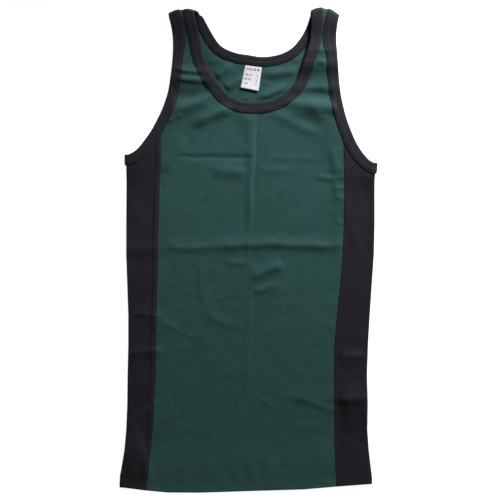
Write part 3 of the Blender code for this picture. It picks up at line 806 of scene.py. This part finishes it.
def panel_points(outline, edges):
    """Points inside a panel: rows along its seams, hem and bindings, then a lattice."""
    rows = [spaced(edge + inward(edge) * depth, EDGE_PITCH)
            for edge in edges for depth in (9.0, BINDING_WIDTH)]
    rows += [seam_line(side, away) for side in (-1, 1) for away in SEAM_ROWS]
    hem = hem_line()
    rows += [hem + (0.0, rise) for rise in (7.0, *(row - HEM_OUT for row in HEM_TWIN), 26.0)]
    near = np.vstack(rows)
    wide = lattice()
    points = np.vstack([near, wide])
    rooms = np.concatenate([np.full(len(near), 1.2), np.full(len(wide), 0.62 * PITCH)])
    inside = crosses(outline, *points.T)
    gap = distance(np.vstack([outline, outline[:1]]), *points.T)
    keep = inside & (gap > np.minimum(rooms, 0.35 * PITCH))
    return thinned(points[keep], rooms[keep])


def hem_profile():
    """Rows of the hem, from the start of its fold: rise, lift and cloth used."""
    turns = np.linspace(0.0, pi, 9)
    rise = np.concatenate([-PLY / 2 * np.sin(turns), np.linspace(2.0, HEM_DEPTH - HEM_OUT, 6)])
    lift = np.concatenate([PLY / 2 * (np.cos(turns) - 1), np.full(6, -PLY)])
    used = np.concatenate([PLY / 2 * turns, PLY / 2 * pi + rise[9:]])
    return rise, lift, used


def panel_hem(place):
    """The fold of the hem and the ply that it turns up inside."""
    line = split(hem_line())
    left, right = (body_x(end, line[:, 1], SEAM_CLEAR) for end in (0.0, 1.0))
    share = (line[:, 0] - left) / (right - left)
    rise, lift, used = hem_profile()
    y = line[None, :, 1] + rise[:, None]
    x = body_x(share[None, :], y, SEAM_CLEAR)
    x[0] = line[:, 0]
    points = place(x, y, lift[:, None])
    uvs = np.stack([x, np.broadcast_to(line[None, :, 1] - used[:, None], x.shape)], axis=-1)
    return points, uvs


def panel_shoulder(side, neck, other, turns):
    """The part of a strap that rolls over the shoulder, up to the shoulder seam."""
    line = split(strap_line(side, neck))
    across = np.linspace(0.0, 1.0, len(line))
    far = strap_line(side, other)
    front = line[:, 0]
    back = far[0, 0] + (far[-1, 0] - far[0, 0]) * across
    drop = line[:, 1] - shoulder_start(front)
    moved = (1 - np.cos(turns[:, None] - turns[0])) / 2
    x = front + (back - front) * moved
    points = on_shoulder_fold(x, np.broadcast_to(turns[:, None], x.shape), 0.0,
                              drop * np.cos(turns[:, None])**2)
    run = 3 * np.abs(turns - turns[0])
    uvs = np.stack([x, line[:, 1] + np.broadcast_to(run[:, None], x.shape)], axis=-1)
    return points, uvs


def panel(name, neck, other, place, turns, edges, node):
    outline = panel_outline(neck)
    flat, triangles = field(outline, panel_points(outline, edges))
    points, faces = [place(*flat.T)], [triangles]
    uvs, first = [flat], len(flat)
    grids = [panel_hem(place)]
    grids += [panel_shoulder(side, neck, other, turns) for side in (-1, 1)]
    for grid, grid_uvs in grids:
        quads = grid_faces(*grid.shape[:2], first)
        faces.append(quads)
        points.append(grid.reshape(-1, 3))
        uvs.append(grid_uvs.reshape(-1, 2))
        first += grid.shape[0] * grid.shape[1]
    every = [face for part in faces for face in part.tolist()]
    return new_piece(name, np.vstack(points), every, np.vstack(uvs), "green", node)


# ---- side panels ----

def side_top(side, share):
    """Height of a side panel's top edge, from the seam at share 0 to the fold at 1."""
    line = arm_edge(side)
    line = line[~over_seam(side, line)]
    seam = seam_x(side, line[:, 1])
    fold = side_roll(side, line[:, 1])[2]
    shares = (line[:, 0] - seam) / (fold - seam)
    order = np.argsort(shares)
    return np.interp(share, shares[order], line[order, 1])


def side_panel(name, side, node):
    """A panel that wraps from the front seam round the side fold to the back seam."""
    shares = SIDE_COLUMNS / SIDE_COLUMNS[-1]
    turns = np.linspace(0.0, pi, 13)[1:-1]
    count = len(shares)
    share = np.concatenate([shares, np.ones(len(turns)), shares[::-1]])
    seam = hem_start(0.0 if side < 0 else 1.0)
    fold = hem_y(fold_x(side, HEM[0, 1])) + HEM_OUT
    start = seam + (fold - seam) * share
    top = side_top(side, share)
    rise, lift, used = hem_profile()
    up = np.linspace(0.0, 1.0, round((top.max() - fold) / SIDE_PITCH))[1:]
    y = np.vstack([start + rise[::-1, None], start + (top - start) * up[:, None]])
    lift = np.concatenate([lift[::-1], np.zeros(len(up))])[:, None] * np.ones(y.shape)
    v = np.vstack([start - used[::-1, None], y[len(rise):]])
    points = np.empty((*y.shape, 3))
    for place, part in ((on_front, slice(0, count)), (on_back, slice(-count, None))):
        edge = seam_x(side, y[:, part]) + side * SEAM_CLEAR
        x = edge + (side_roll(side, y[:, part])[2] - edge) * share[part]
        points[:, part] = place(x, y[:, part], lift[:, part])
    middle = slice(count, -count)
    points[:, middle] = on_side_fold(side, y[:, middle], turns[None, :], lift[:, middle])
    steps = np.hypot(np.diff(points[..., 0], axis=1), np.diff(points[..., 2], axis=1))
    u = np.concatenate([np.zeros((len(y), 1)), np.cumsum(steps, axis=1)], axis=1)
    return woven(name, points, np.stack([u, v], axis=-1), "black", node)


# ---- bindings ----

def binding_section(facing):
    """Depth from the finished edge and lift from the panel's middle, leg to leg.

    Facing is 1 where the outer leg is seen and 0 where the inner one is, one row for each.
    """
    facing = np.atleast_1d(facing)[:, None]
    behind = 1 - facing
    turns = np.linspace(0.0, pi, 11)[1:-1]
    fold = PLY + CLOTH / 2 - FOLD_OUT - PLY * np.sin(turns) + 0 * facing
    rise = PLY * np.cos(turns) * np.where(turns < pi / 2, 1.0, 1 + behind * STAND / PLY)
    narrow = INNER_LEG + (1 - INNER_LEG) * facing
    outer = PLY + facing * binding_puff(LEG)
    inner = PLY + behind * (binding_puff(LEG[::-1]) + STAND * (1 - LEG[::-1] / LEG[0]))
    return (
        np.hstack([LEG + 0 * facing, fold, LEG[::-1] * narrow]),
        np.hstack([outer, rise, -inner]),
    )


def binding_puff(depth):
    """How far the tape stands up between its rows of stitches, and its edge down."""
    groove = sum(0.13 * bell(depth - row, 0.8) for row in TWIN_ROWS)
    puff = 0.26 * bell(depth - 10, 2.2) + 0.10 * bell(depth - 5, 2.0)
    return puff - groove - 0.45 * (1 - fade(depth, 13.4, 2.2))


def strap_wide(y, share):
    """How much wider a binding is on the front of the straps, where it is pushed up."""
    return 1 + share * (1 - fade(y, 284.0, 18.0)) * fade(y, 330.0, 12.0)


def gathers(run, depth):
    """Small gathers of a binding between its stitches: run along it, depth across.

    A hidden leg's run starts elsewhere, so that its gathers are not the seen leg's.
    """
    return BINDING_PUCKERS * puckers(run * 1.2) * bell(depth - 9.5, 5.0)


def row_directions(line):
    """Unit vectors across a binding, square to its edge and along the shoulder near one."""
    right, up = inward(line).T
    near = fade(shoulder_start(line[:, 0]) - line[:, 1], 0.0, SHOULDER_BLEND)
    near = near * (line[:, 1] > UPPER_HALF)
    ahead = np.sign(right)
    slope = (crest_y(line[:, 0] + 8 * ahead) - crest_y(line[:, 0])) / 8
    size = np.hypot(1.0, slope)
    right, up = (1 - near) * right + near * ahead / size, (1 - near) * up + near * slope / size
    return right / np.hypot(right, up), up / np.hypot(right, up)


def edge_rows(line, place, run, facing, wide, side=0):
    """Rows of a binding along a finished edge.

    An armhole's has a side, and its rows turn to run along the side fold near it.
    """
    depth, lift = binding_section(facing)
    depth = depth * (strap_wide(line[:, 1:2], wide) if facing else 1.0)
    right, up = row_directions(line)
    if side:
        away = 1 - fade(np.abs(fold_x(side, line[:, 1]) - line[:, 0]), LEVEL, 2 * BINDING_WIDTH)
        size = np.hypot(right * away, up)
        right, up = right * away / size, up / size
    x = line[:, 0:1] + right[:, None] * depth
    y = line[:, 1:2] + up[:, None] * depth
    if side:
        start = side_roll(side, line[:, 1])[2][:, None]
        x = x + (side_roll(side, y)[2] - start) * (1 - away)[:, None]
    return place(x, y, lift + np.sign(lift) * gathers(run[:, None], depth))


def shoulder_rows(start, end, inner):
    """Rows over a shoulder fold, front to back, with the cloth towards inner, 1 or -1."""
    turn = np.linspace(0.0, pi, 17)[:, None]
    facing = (1 + np.cos(turn)) / 2
    depth, lift = binding_section(facing[:, 0])
    x = start + (end - start) * (1 - np.cos(turn)) / 2
    return on_shoulder_fold(x + inner * depth, turn, lift)


def underarm_rows(side, y):
    """Rows round a side fold, front to back."""
    turn = np.linspace(0.0, pi, 13)[1:-1, None]
    depth, lift = binding_section((1 + np.cos(turn[:, 0])) / 2)
    return on_side_fold(side, y - depth, turn, lift)


def to_shoulder(line):
    """An edge with its upper ends moved to the start of the shoulder fold."""
    line = line.copy()
    for end in (0, -1):
        if line[end][1] > UPPER_HALF:
            line[end][1] = shoulder_start(line[end][0])
    return line


def binding(name, parts, node):
    """A binding from runs of rows that follow each other in a ring."""
    rows = []
    for part, following in zip(parts, parts[1:] + parts[:1]):
        rows.append(part)
        for share in (0.25, 0.5, 0.75):
            rows.append((part[-1:] * (1 - share) + following[:1] * share))
    points = np.concatenate(rows + [parts[0][:1]])
    steps = np.linalg.norm(np.diff(points, axis=0), axis=2).mean(axis=1)
    along = np.concatenate([[0.0], np.cumsum(steps)])
    depth, lift = binding_section(1.0)
    across = np.concatenate([[0.0], np.cumsum(np.hypot(np.diff(depth[0]), np.diff(lift[0])))])
    uvs = np.stack(np.meshgrid(along, across, indexing="ij"), axis=-1)
    return woven(name, points, uvs, "binding", node)


def neck_rows():
    """Rows of the neck's binding, along the front and along the back."""
    front = spaced(to_shoulder(NECK_FRONT), BINDING_PITCH)
    back = spaced(to_shoulder(NECK_BACK), BINDING_PITCH)
    return (
        edge_rows(front, on_front, runs(front), 1.0, NECK_WIDE)[1:-1],
        edge_rows(back, on_back, runs(back) + HIDDEN_RUN, 0.0, NECK_WIDE)[1:-1],
    )


def neck_binding():
    ahead, behind = neck_rows()
    join = bell(behind[..., 0] - BINDING_JOIN, 0.8)
    behind[..., 2] -= 0.35 * join * (np.arange(behind.shape[1]) > len(LEG))
    return binding("neck_rib", [
        ahead,
        shoulder_rows(NECK_FRONT[-1, 0], NECK_BACK[-1, 0], -1),
        behind[::-1],
        shoulder_rows(NECK_FRONT[0, 0], NECK_BACK[0, 0], 1)[::-1],
    ], "neck_binding")


def armhole_edge(side):
    """An armhole's finished edge, from the shoulder to the side fold or back."""
    edge = to_shoulder(ARM_LEFT if side < 0 else ARM_RIGHT)
    low = -1 if side < 0 else 0
    edge[low][0] = side_roll(side, edge[low][1])[2]
    return spaced(edge, BINDING_PITCH)


def armhole_binding(name, side, node):
    edge = armhole_edge(side)
    low = -1 if side < 0 else 0
    down = slice(None) if side < 0 else slice(None, None, -1)
    top = edge[down][0][0]
    run = runs(edge)
    return binding(name, [
        edge_rows(edge, on_front, run, 1.0, ARM_WIDE, side)[down][1:],
        underarm_rows(side, edge[low][1]),
        edge_rows(edge, on_back, run + 500, 0.0, ARM_WIDE, side)[down][:0:-1],
        shoulder_rows(top, top, -side)[::-1],
    ], node)


# ---- stitches ----

def thread_bits(name, middles, aheads, ups, material):
    """Short lengths of thread, one for each stitch, whose ends go down into the cloth."""
    ring = np.linspace(0.0, 2 * pi, RING, endpoint=False)
    places = np.array((-0.5, -0.34, 0.0, 0.34, 0.5))
    widths = THREAD * np.array((0.45, 0.9, 1.0, 0.9, 0.45))
    sinks = np.array((-0.30, -0.06, 0.0, -0.06, -0.30))
    sides = np.cross(ups, aheads)
    across = widths[:, None] * np.cos(ring)
    upward = widths[:, None] * np.sin(ring) + sinks[:, None]
    points = (
        middles[:, None, None]
        + aheads[:, None, None] * (STITCH * places)[None, :, None, None]
        + sides[:, None, None] * across[None, ..., None]
        + ups[:, None, None] * upward[None, ..., None]
    ).reshape(-1, 3)
    size = len(places) * RING
    faces = []
    for first in range(0, len(points), size):
        for start in range(first, first + size - RING, RING):
            for j in range(RING):
                after = (j + 1) % RING
                faces.append([start + j, start + after, start + RING + after, start + RING + j])
    for first in range(0, len(points), size):
        faces.append(list(range(first + RING - 1, first - 1, -1)))
        faces.append(list(range(first + size - RING, first + size)))
    return new_piece(name, points, faces, points[:, :2], material, wall=0.0)


def stitched(line):
    """Middles and directions of the stitches along a line in space."""
    run = np.concatenate([[0.0], np.cumsum(np.linalg.norm(np.diff(line, axis=0), axis=1))])
    places = np.arange(STITCH_PITCH / 2, run[-1], STITCH_PITCH)
    middles, after, before = (
        np.column_stack([np.interp(where, run, line[:, k]) for k in range(3)])
        for where in (places, places + STITCH_PITCH / 3, places - STITCH_PITCH / 3)
    )
    ahead = after - before
    return middles, ahead / np.linalg.norm(ahead, axis=1)[:, None]


def sewn(name, lines, material):
    """One piece with the stitches along several lines."""
    middles, aheads = (np.vstack(part) for part in zip(*map(stitched, lines)))
    ups = np.cross(aheads, np.cross((0.0, 0.0, 1.0), aheads))
    ups /= np.linalg.norm(ups, axis=1)[:, None]
    return thread_bits(name, middles, aheads, ups, material)


def on_column(rows, depth, inner=False):
    """The line along a binding's rows at one depth, just above its tape."""
    column = int(np.argmin(np.abs(LEG - depth)))
    line = rows[:, -1 - column if inner else column]
    return line + (0.0, 0.0, SHEET / 2 + 0.05)


def neck_stitches():
    ahead, behind = neck_rows()
    lines = [on_column(ahead, depth) for depth in TWIN_ROWS]
    lines += [on_column(behind, depth, True) for depth in TWIN_ROWS]
    return sewn("neck_stitches", lines, "thread")


def armhole_stitches(name, side):
    edge = armhole_edge(side)
    rows = edge_rows(edge, on_front, runs(edge), 1.0, ARM_WIDE, side)
    ends = slice(3, -2) if side < 0 else slice(2, -3)
    lines = [on_column(rows, depth)[ends] for depth in TWIN_ROWS]
    return sewn(name, lines, "thread")


def hem_stitches(name, start, end, material):
    """The hem's two rows between two places across the garment."""
    x = np.arange(start, end, 2.0)
    lines = [on_front(x, hem_y(x) + row, SHEET / 2 + 0.05) for row in HEM_TWIN]
    return sewn(name, lines, material)


# ---- label ----

def label_place(across, down, lift=0.0):
    """Points of the label: its top is under the binding and its lower end lifts a little."""
    width, height = LABEL_SIZE
    u, v = across / width, down / height
    (ax, ay), (bx, by), (cx, cy), (dx, dy) = LABEL_CORNERS
    x = (1 - v) * (ax + u * (bx - ax)) + v * (cx + u * (dx - cx))
    y = (1 - v) * (ay + u * (by - ay)) + v * (cy + u * (dy - cy))
    tucked = 0.75 * fade(down, 0.6, 2.4)
    rise = 0.9 * v**2 + 0.5 * v * (u - 0.45)**2 + 0.2 * v * np.sin(down / 5 + u)
    return stack(x, y, CLOTH / 2 + LABEL_LIFT - tucked + rise + lift)


def label():
    width, height = LABEL_SIZE
    across, down = np.meshgrid(np.linspace(0.0, width, 25), np.linspace(0.0, height, 36))
    return woven("label_tape", label_place(across, down), np.stack([across, down], axis=-1),
                 "label", "label", TAPE_WALL)


def digits(text, size, across, down, bold):
    """A number as flat faces on the label: points and faces."""
    curve = bpy.data.curves.new("digits", "FONT")
    curve.body = text
    curve.size = size
    curve.offset = bold * size
    curve.resolution_u = 3
    shape = bpy.data.objects.new("digits", curve)
    bpy.context.scene.collection.objects.link(shape)
    mesh = shape.to_mesh()
    flat = np.array([vertex.co for vertex in mesh.vertices]).reshape(-1, 3)
    faces = [list(face.vertices) for face in mesh.polygons]
    shape.to_mesh_clear()
    bpy.data.objects.remove(shape)
    bpy.data.curves.remove(curve)
    return label_place(across + flat[:, 0], down - flat[:, 1], PRINT_LIFT), faces


# What is printed on the label, plain sizes only: text, height, across, down, boldness.
LABEL_MARKS = (
    ("34 36 38 40", 4.0, 2.2, 8.4, 0.035),
    ("34-36", 4.0, 2.4, 16.6, 0.012), ("5", 4.0, 18.6, 16.6, 0.012),
    ("84-92", 4.0, 2.2, 22.6, 0.012), ("6", 4.0, 18.4, 22.6, 0.012),
    ("176", 4.0, 2.2, 28.6, 0.012), ("7", 4.0, 18.4, 28.6, 0.012),
)


def label_print():
    points, faces = np.empty((0, 3)), []
    for mark in LABEL_MARKS:
        found, shapes = digits(*mark)
        faces += [[len(points) + k for k in shape] for shape in shapes]
        points = np.vstack([points, found])
    return new_piece("label_print", points, faces, points[:, :2], "ink", wall=0.0)


def label_stitches():
    across = np.linspace(1.5, LABEL_SIZE[0] - 1.5, 12)
    return sewn("label_stitches", [label_place(across, np.full(12, 1.4), 0.22)], "thread")


# ---- materials ----

GREEN = (0.0328, 0.0910, 0.0840)
BLACK = (0.0232, 0.0211, 0.0272)
BINDING = (0.0240, 0.0242, 0.0320)
TAPE = (0.86, 0.84, 0.88)
INK = (0.06, 0.06, 0.07)
BLACK_THREAD = (0.016, 0.016, 0.020)
GREEN_THREAD = (0.025, 0.080, 0.074)
PAPER = (0.86, 0.86, 0.86)
FLOOR_GLOW = 0.92
RIB_DEPTH = 0.05  # of the knit's wales, in millimetres
YARN = 0.012  # height of its courses and of its yarn
SLUB = 0.30  # how uneven it is at the size of a finger tip


def add(tree, kind, **sockets):
    """A node with some of its inputs set or linked."""
    node = tree.nodes.new(kind)
    for name, value in sockets.items():
        put(tree, node, name, value)
    return node


def put(tree, node, name, value):
    """Sets an input by its name or number, or links it from another node's output."""
    name = name.replace("_", " ") if isinstance(name, str) else name
    socket = node.inputs[name]
    if isinstance(value, bpy.types.NodeSocket):
        tree.links.new(value, socket)
    else:
        socket.default_value = value


def math(tree, operation, *values):
    node = tree.nodes.new("ShaderNodeMath")
    node.operation = operation
    for number, value in enumerate(values):
        put(tree, node, number, value)
    return node.outputs[0]


def plain(name, color, roughness):
    material = bpy.data.materials.new(name)
    material.use_nodes = True
    tree = material.node_tree
    shader = tree.nodes["Principled BSDF"]
    put(tree, shader, "Base Color", (*color, 1.0))
    put(tree, shader, "Roughness", roughness)
    return material, tree, shader


def toned(tree, shader, color, tone):
    """Sets the base colour, made lighter and darker by a tone near 1."""
    mix = tree.nodes.new("ShaderNodeMix")
    mix.data_type = "RGBA"
    mix.blend_type = "MULTIPLY"
    mix.inputs["Factor"].default_value = 1.0
    mix.inputs["A"].default_value = (*color, 1.0)
    gray = add(tree, "ShaderNodeCombineColor", Red=tone, Green=tone, Blue=tone)
    tree.links.new(gray.outputs[0], mix.inputs["B"])
    tree.links.new(mix.outputs["Result"], shader.inputs["Base Color"])


def bumped(tree, shader, height, strength=1.0, distance=MM):
    """Sets the normals from a height, in millimetres unless the distance differs."""
    bump = add(tree, "ShaderNodeBump", Height=height, Strength=strength, Distance=distance)
    put(tree, shader, "Normal", bump.outputs[0])


def noise(tree, place, scale, detail=2.0):
    return add(tree, "ShaderNodeTexNoise", Vector=place, Scale=scale, Detail=detail).outputs[0]


def wave(tree, along, length):
    """A sine wave this many millimetres long."""
    return math(tree, "SINE", math(tree, "MULTIPLY", along, 2 * pi / (length * MM)))


def cloth_place(tree):
    """Places on the flat cloth in metres, and their parts across it and along it."""
    layer = tree.nodes.new("ShaderNodeUVMap")
    layer.uv_map = "cloth"
    parts = add(tree, "ShaderNodeSeparateXYZ", Vector=layer.outputs[0])
    return layer.outputs[0], parts.outputs[0], parts.outputs[1]


def object_place(tree):
    return add(tree, "ShaderNodeTexCoord").outputs["Object"]


def uneven(tree, place, scale, spread):
    """A tone near 1 that varies from place to place."""
    return math(tree, "MULTIPLY_ADD", noise(tree, place, scale, 3.0), spread, 1 - spread / 2)


def knit(name, color, roughness, specular, rib, course):
    """Fine rib knit: wales a rib apart across the cloth, and courses along them."""
    material, tree, shader = plain(name, color, roughness)
    put(tree, shader, "Specular IOR Level", specular)
    put(tree, shader, "Sheen Weight", 0.03)
    put(tree, shader, "Sheen Roughness", 0.5)
    place, across, along = cloth_place(tree)
    shift = math(tree, "MULTIPLY", noise(tree, place, 90.0), 0.25 * rib * MM)
    wale = wave(tree, math(tree, "ADD", across, shift), rib)
    rows = math(tree, "MULTIPLY", along, 2 * pi / (course * MM))
    lean = math(tree, "ABSOLUTE", wale)
    loop = math(tree, "SINE", math(tree, "MULTIPLY_ADD", lean, 1.6, rows))
    slubs = add(tree, "ShaderNodeMapping", Vector=place, Scale=(62.0, 105.0, 1.0))
    slub = noise(tree, slubs.outputs[0], 1.0)
    height = math(tree, "MULTIPLY", wale, RIB_DEPTH)
    for part, depth in ((loop, YARN), (noise(tree, place, 1400.0, 3.0), YARN), (slub, SLUB)):
        height = math(tree, "MULTIPLY_ADD", part, depth, height)
    bumped(tree, shader, height)
    tone = math(tree, "MULTIPLY_ADD", noise(tree, place, 24.0, 4.0), 0.22, 0.89)
    for part, spread in ((slub, 0.36), (noise(tree, place, 520.0), 0.24)):
        middle = math(tree, "SUBTRACT", tone, spread / 2)
        tone = math(tree, "MULTIPLY_ADD", part, spread, middle)
    # The wale wave also tints the colour: the rib's crests a little lighter and its grooves
    # darker, painted shade in the rib.
    toned(tree, shader, color, math(tree, "MULTIPLY_ADD", wale, 0.05, tone))
    return material


def tape(name):
    """White satin label tape, with a fine weave."""
    material, tree, shader = plain(name, TAPE, 0.45)
    put(tree, shader, "Sheen Weight", 0.1)
    place, across, along = cloth_place(tree)
    weave = math(tree, "MULTIPLY", wave(tree, across, 0.4), wave(tree, along, 0.5))
    bumped(tree, shader, math(tree, "MULTIPLY", weave, 0.03))
    toned(tree, shader, TAPE, uneven(tree, place, 160.0, 0.08))
    return material


def printed(name, color):
    """Ink on the tape, a little worn."""
    material, tree, shader = plain(name, color, 0.6)
    toned(tree, shader, color, uneven(tree, object_place(tree), 1500.0, 1.2))
    return material


def twisted(name, color):
    """Sewing thread, with the twist of its plies."""
    material, tree, shader = plain(name, color, 0.75)
    put(tree, shader, "Specular IOR Level", 0.2)
    place = object_place(tree)
    toned(tree, shader, color, uneven(tree, place, 400.0, 0.5))
    twist = add(tree, "ShaderNodeTexWave", Vector=place, Scale=900.0)
    bumped(tree, shader, twist.outputs[1], 0.4, 0.1 * MM)
    return material


def floor_material():
    material, tree, shader = plain("paper", PAPER, 0.9)
    put(tree, shader, "Specular IOR Level", 0.1)
    put(tree, shader, "Emission Color", (1.0, 1.0, 1.0, 1.0))
    put(tree, shader, "Emission Strength", FLOOR_GLOW)
    bumped(tree, shader, noise(tree, object_place(tree), 900.0, 3.0), 0.1, 0.1 * MM)
    return material


MATERIALS = {
    "green": knit("green_knit", GREEN, 0.62, 0.07, 1.25, 0.7),
    "black": knit("black_knit", BLACK, 0.62, 0.09, 1.3, 0.8),
    "binding": knit("binding_knit", BINDING, 0.58, 0.11, 1.3, 0.8),
    "label": tape("label_satin"),
    "ink": printed("label_ink", INK),
    "thread": twisted("black_thread", BLACK_THREAD),
    "hem_thread": twisted("green_thread", GREEN_THREAD),
}


# ---- the pieces ----


front_turns = np.linspace(0.0, pi / 2 - SHOULDER_SEAM_TURN, 9)
back_turns = np.linspace(pi, pi / 2 + SHOULDER_SEAM_TURN, 9)
front = panel("front_cloth", NECK_FRONT, NECK_BACK, on_front, front_turns, FRONT_EDGES,
              "front_panel")
back = panel("back_cloth", NECK_BACK, NECK_FRONT, on_back, back_turns, BACK_EDGES, "back_panel")
left_side = side_panel("side_cloth_left", -1, "side_panel_left")
right_side = side_panel("side_cloth_right", 1, "side_panel_right")
neck = neck_binding()
left_arm = armhole_binding("armhole_rib_left", -1, "armhole_binding_left")
right_arm = armhole_binding("armhole_rib_right", 1, "armhole_binding_right")
tag = label()
print_marks = label_print()
tag_thread = label_stitches()
neck_thread = neck_stitches()
left_thread = armhole_stitches("armhole_stitches_left", -1)
right_thread = armhole_stitches("armhole_stitches_right", 1)
left_fold, right_fold = fold_x(-1, HEM[0, 1]) + 5, fold_x(1, HEM[0, 1]) - 5
left_seam, right_seam = seam_x(-1, HEM[0, 1]) - 1, seam_x(1, HEM[0, 1]) + 1
hem_thread = hem_stitches("hem_stitches", left_seam, right_seam, "hem_thread")
hem_thread_left = hem_stitches("hem_stitches_left", left_fold, left_seam, "thread")
hem_thread_right = hem_stitches("hem_stitches_right", right_seam, right_fold, "thread")


# ---- floor, light and camera ----

VIEW_WIDTH = 725.0  # millimetres across the picture
VIEW_MIDDLE = (2.6, 0.0)
LENS = 120.0
SENSOR = 36.0
FOCUS_HEIGHT = 5.0
# Places of the lamps, in metres.
WINDOW = (0.60, 1.20, 0.60)
WINDOW_TARGET = (0.0, -0.50, 0.0)
CEILING = (0.0, 0.3, 2.6)


def stage_floor():
    bm = bmesh.new()
    bmesh.ops.create_grid(bm, x_segments=2, y_segments=2, size=6.0)
    mesh = bpy.data.meshes.new("floor")
    bm.to_mesh(mesh)
    bm.free()
    floor = bpy.data.objects.new("floor", mesh)
    floor.location.z = -0.05 * MM
    bpy.context.scene.collection.objects.link(floor)
    mesh.materials.append(floor_material())


def aimed(name, light, place, target):
    lamp = bpy.data.objects.new(name, light)
    lamp.location = place
    lamp.rotation_euler = (Vector(target) - Vector(place)).to_track_quat("-Z", "Y").to_euler()
    bpy.context.scene.collection.objects.link(lamp)


def lamps():
    """A lamp beyond the shoulders to the right, and a weak soft light overhead."""
    beam = bpy.data.lights.new("window", "SPOT")
    beam.energy = 122.0
    beam.shadow_soft_size = 0.15
    beam.spot_size = radians(44.0)
    beam.spot_blend = 0.3
    aimed("window", beam, WINDOW, WINDOW_TARGET)
    soft = bpy.data.lights.new("ceiling", "AREA")
    soft.size = 1.6
    soft.energy = 0.7
    aimed("ceiling", soft, CEILING, (0.0, 0.0, 0.0))


def camera():
    lens = bpy.data.cameras.new("camera")
    lens.lens = LENS
    lens.sensor_width = SENSOR
    lens.clip_end = 20.0
    eye = bpy.data.objects.new("camera", lens)
    eye.location = (
        VIEW_MIDDLE[0] * MM, VIEW_MIDDLE[1] * MM,
        (VIEW_WIDTH * LENS / SENSOR + FOCUS_HEIGHT) * MM,
    )
    bpy.context.scene.collection.objects.link(eye)
    bpy.context.scene.camera = eye


def world():
    ground = bpy.data.worlds.new("studio")
    ground.use_nodes = True
    background = ground.node_tree.nodes["Background"]
    background.inputs["Color"].default_value = (1.0, 1.0, 1.0, 1.0)
    background.inputs["Strength"].default_value = 0.085
    bpy.context.scene.world = ground


stage_floor()
lamps()
camera()
world()
bpy.context.scene.view_settings.view_transform = "Standard"
bpy.context.scene.view_settings.look = "None"
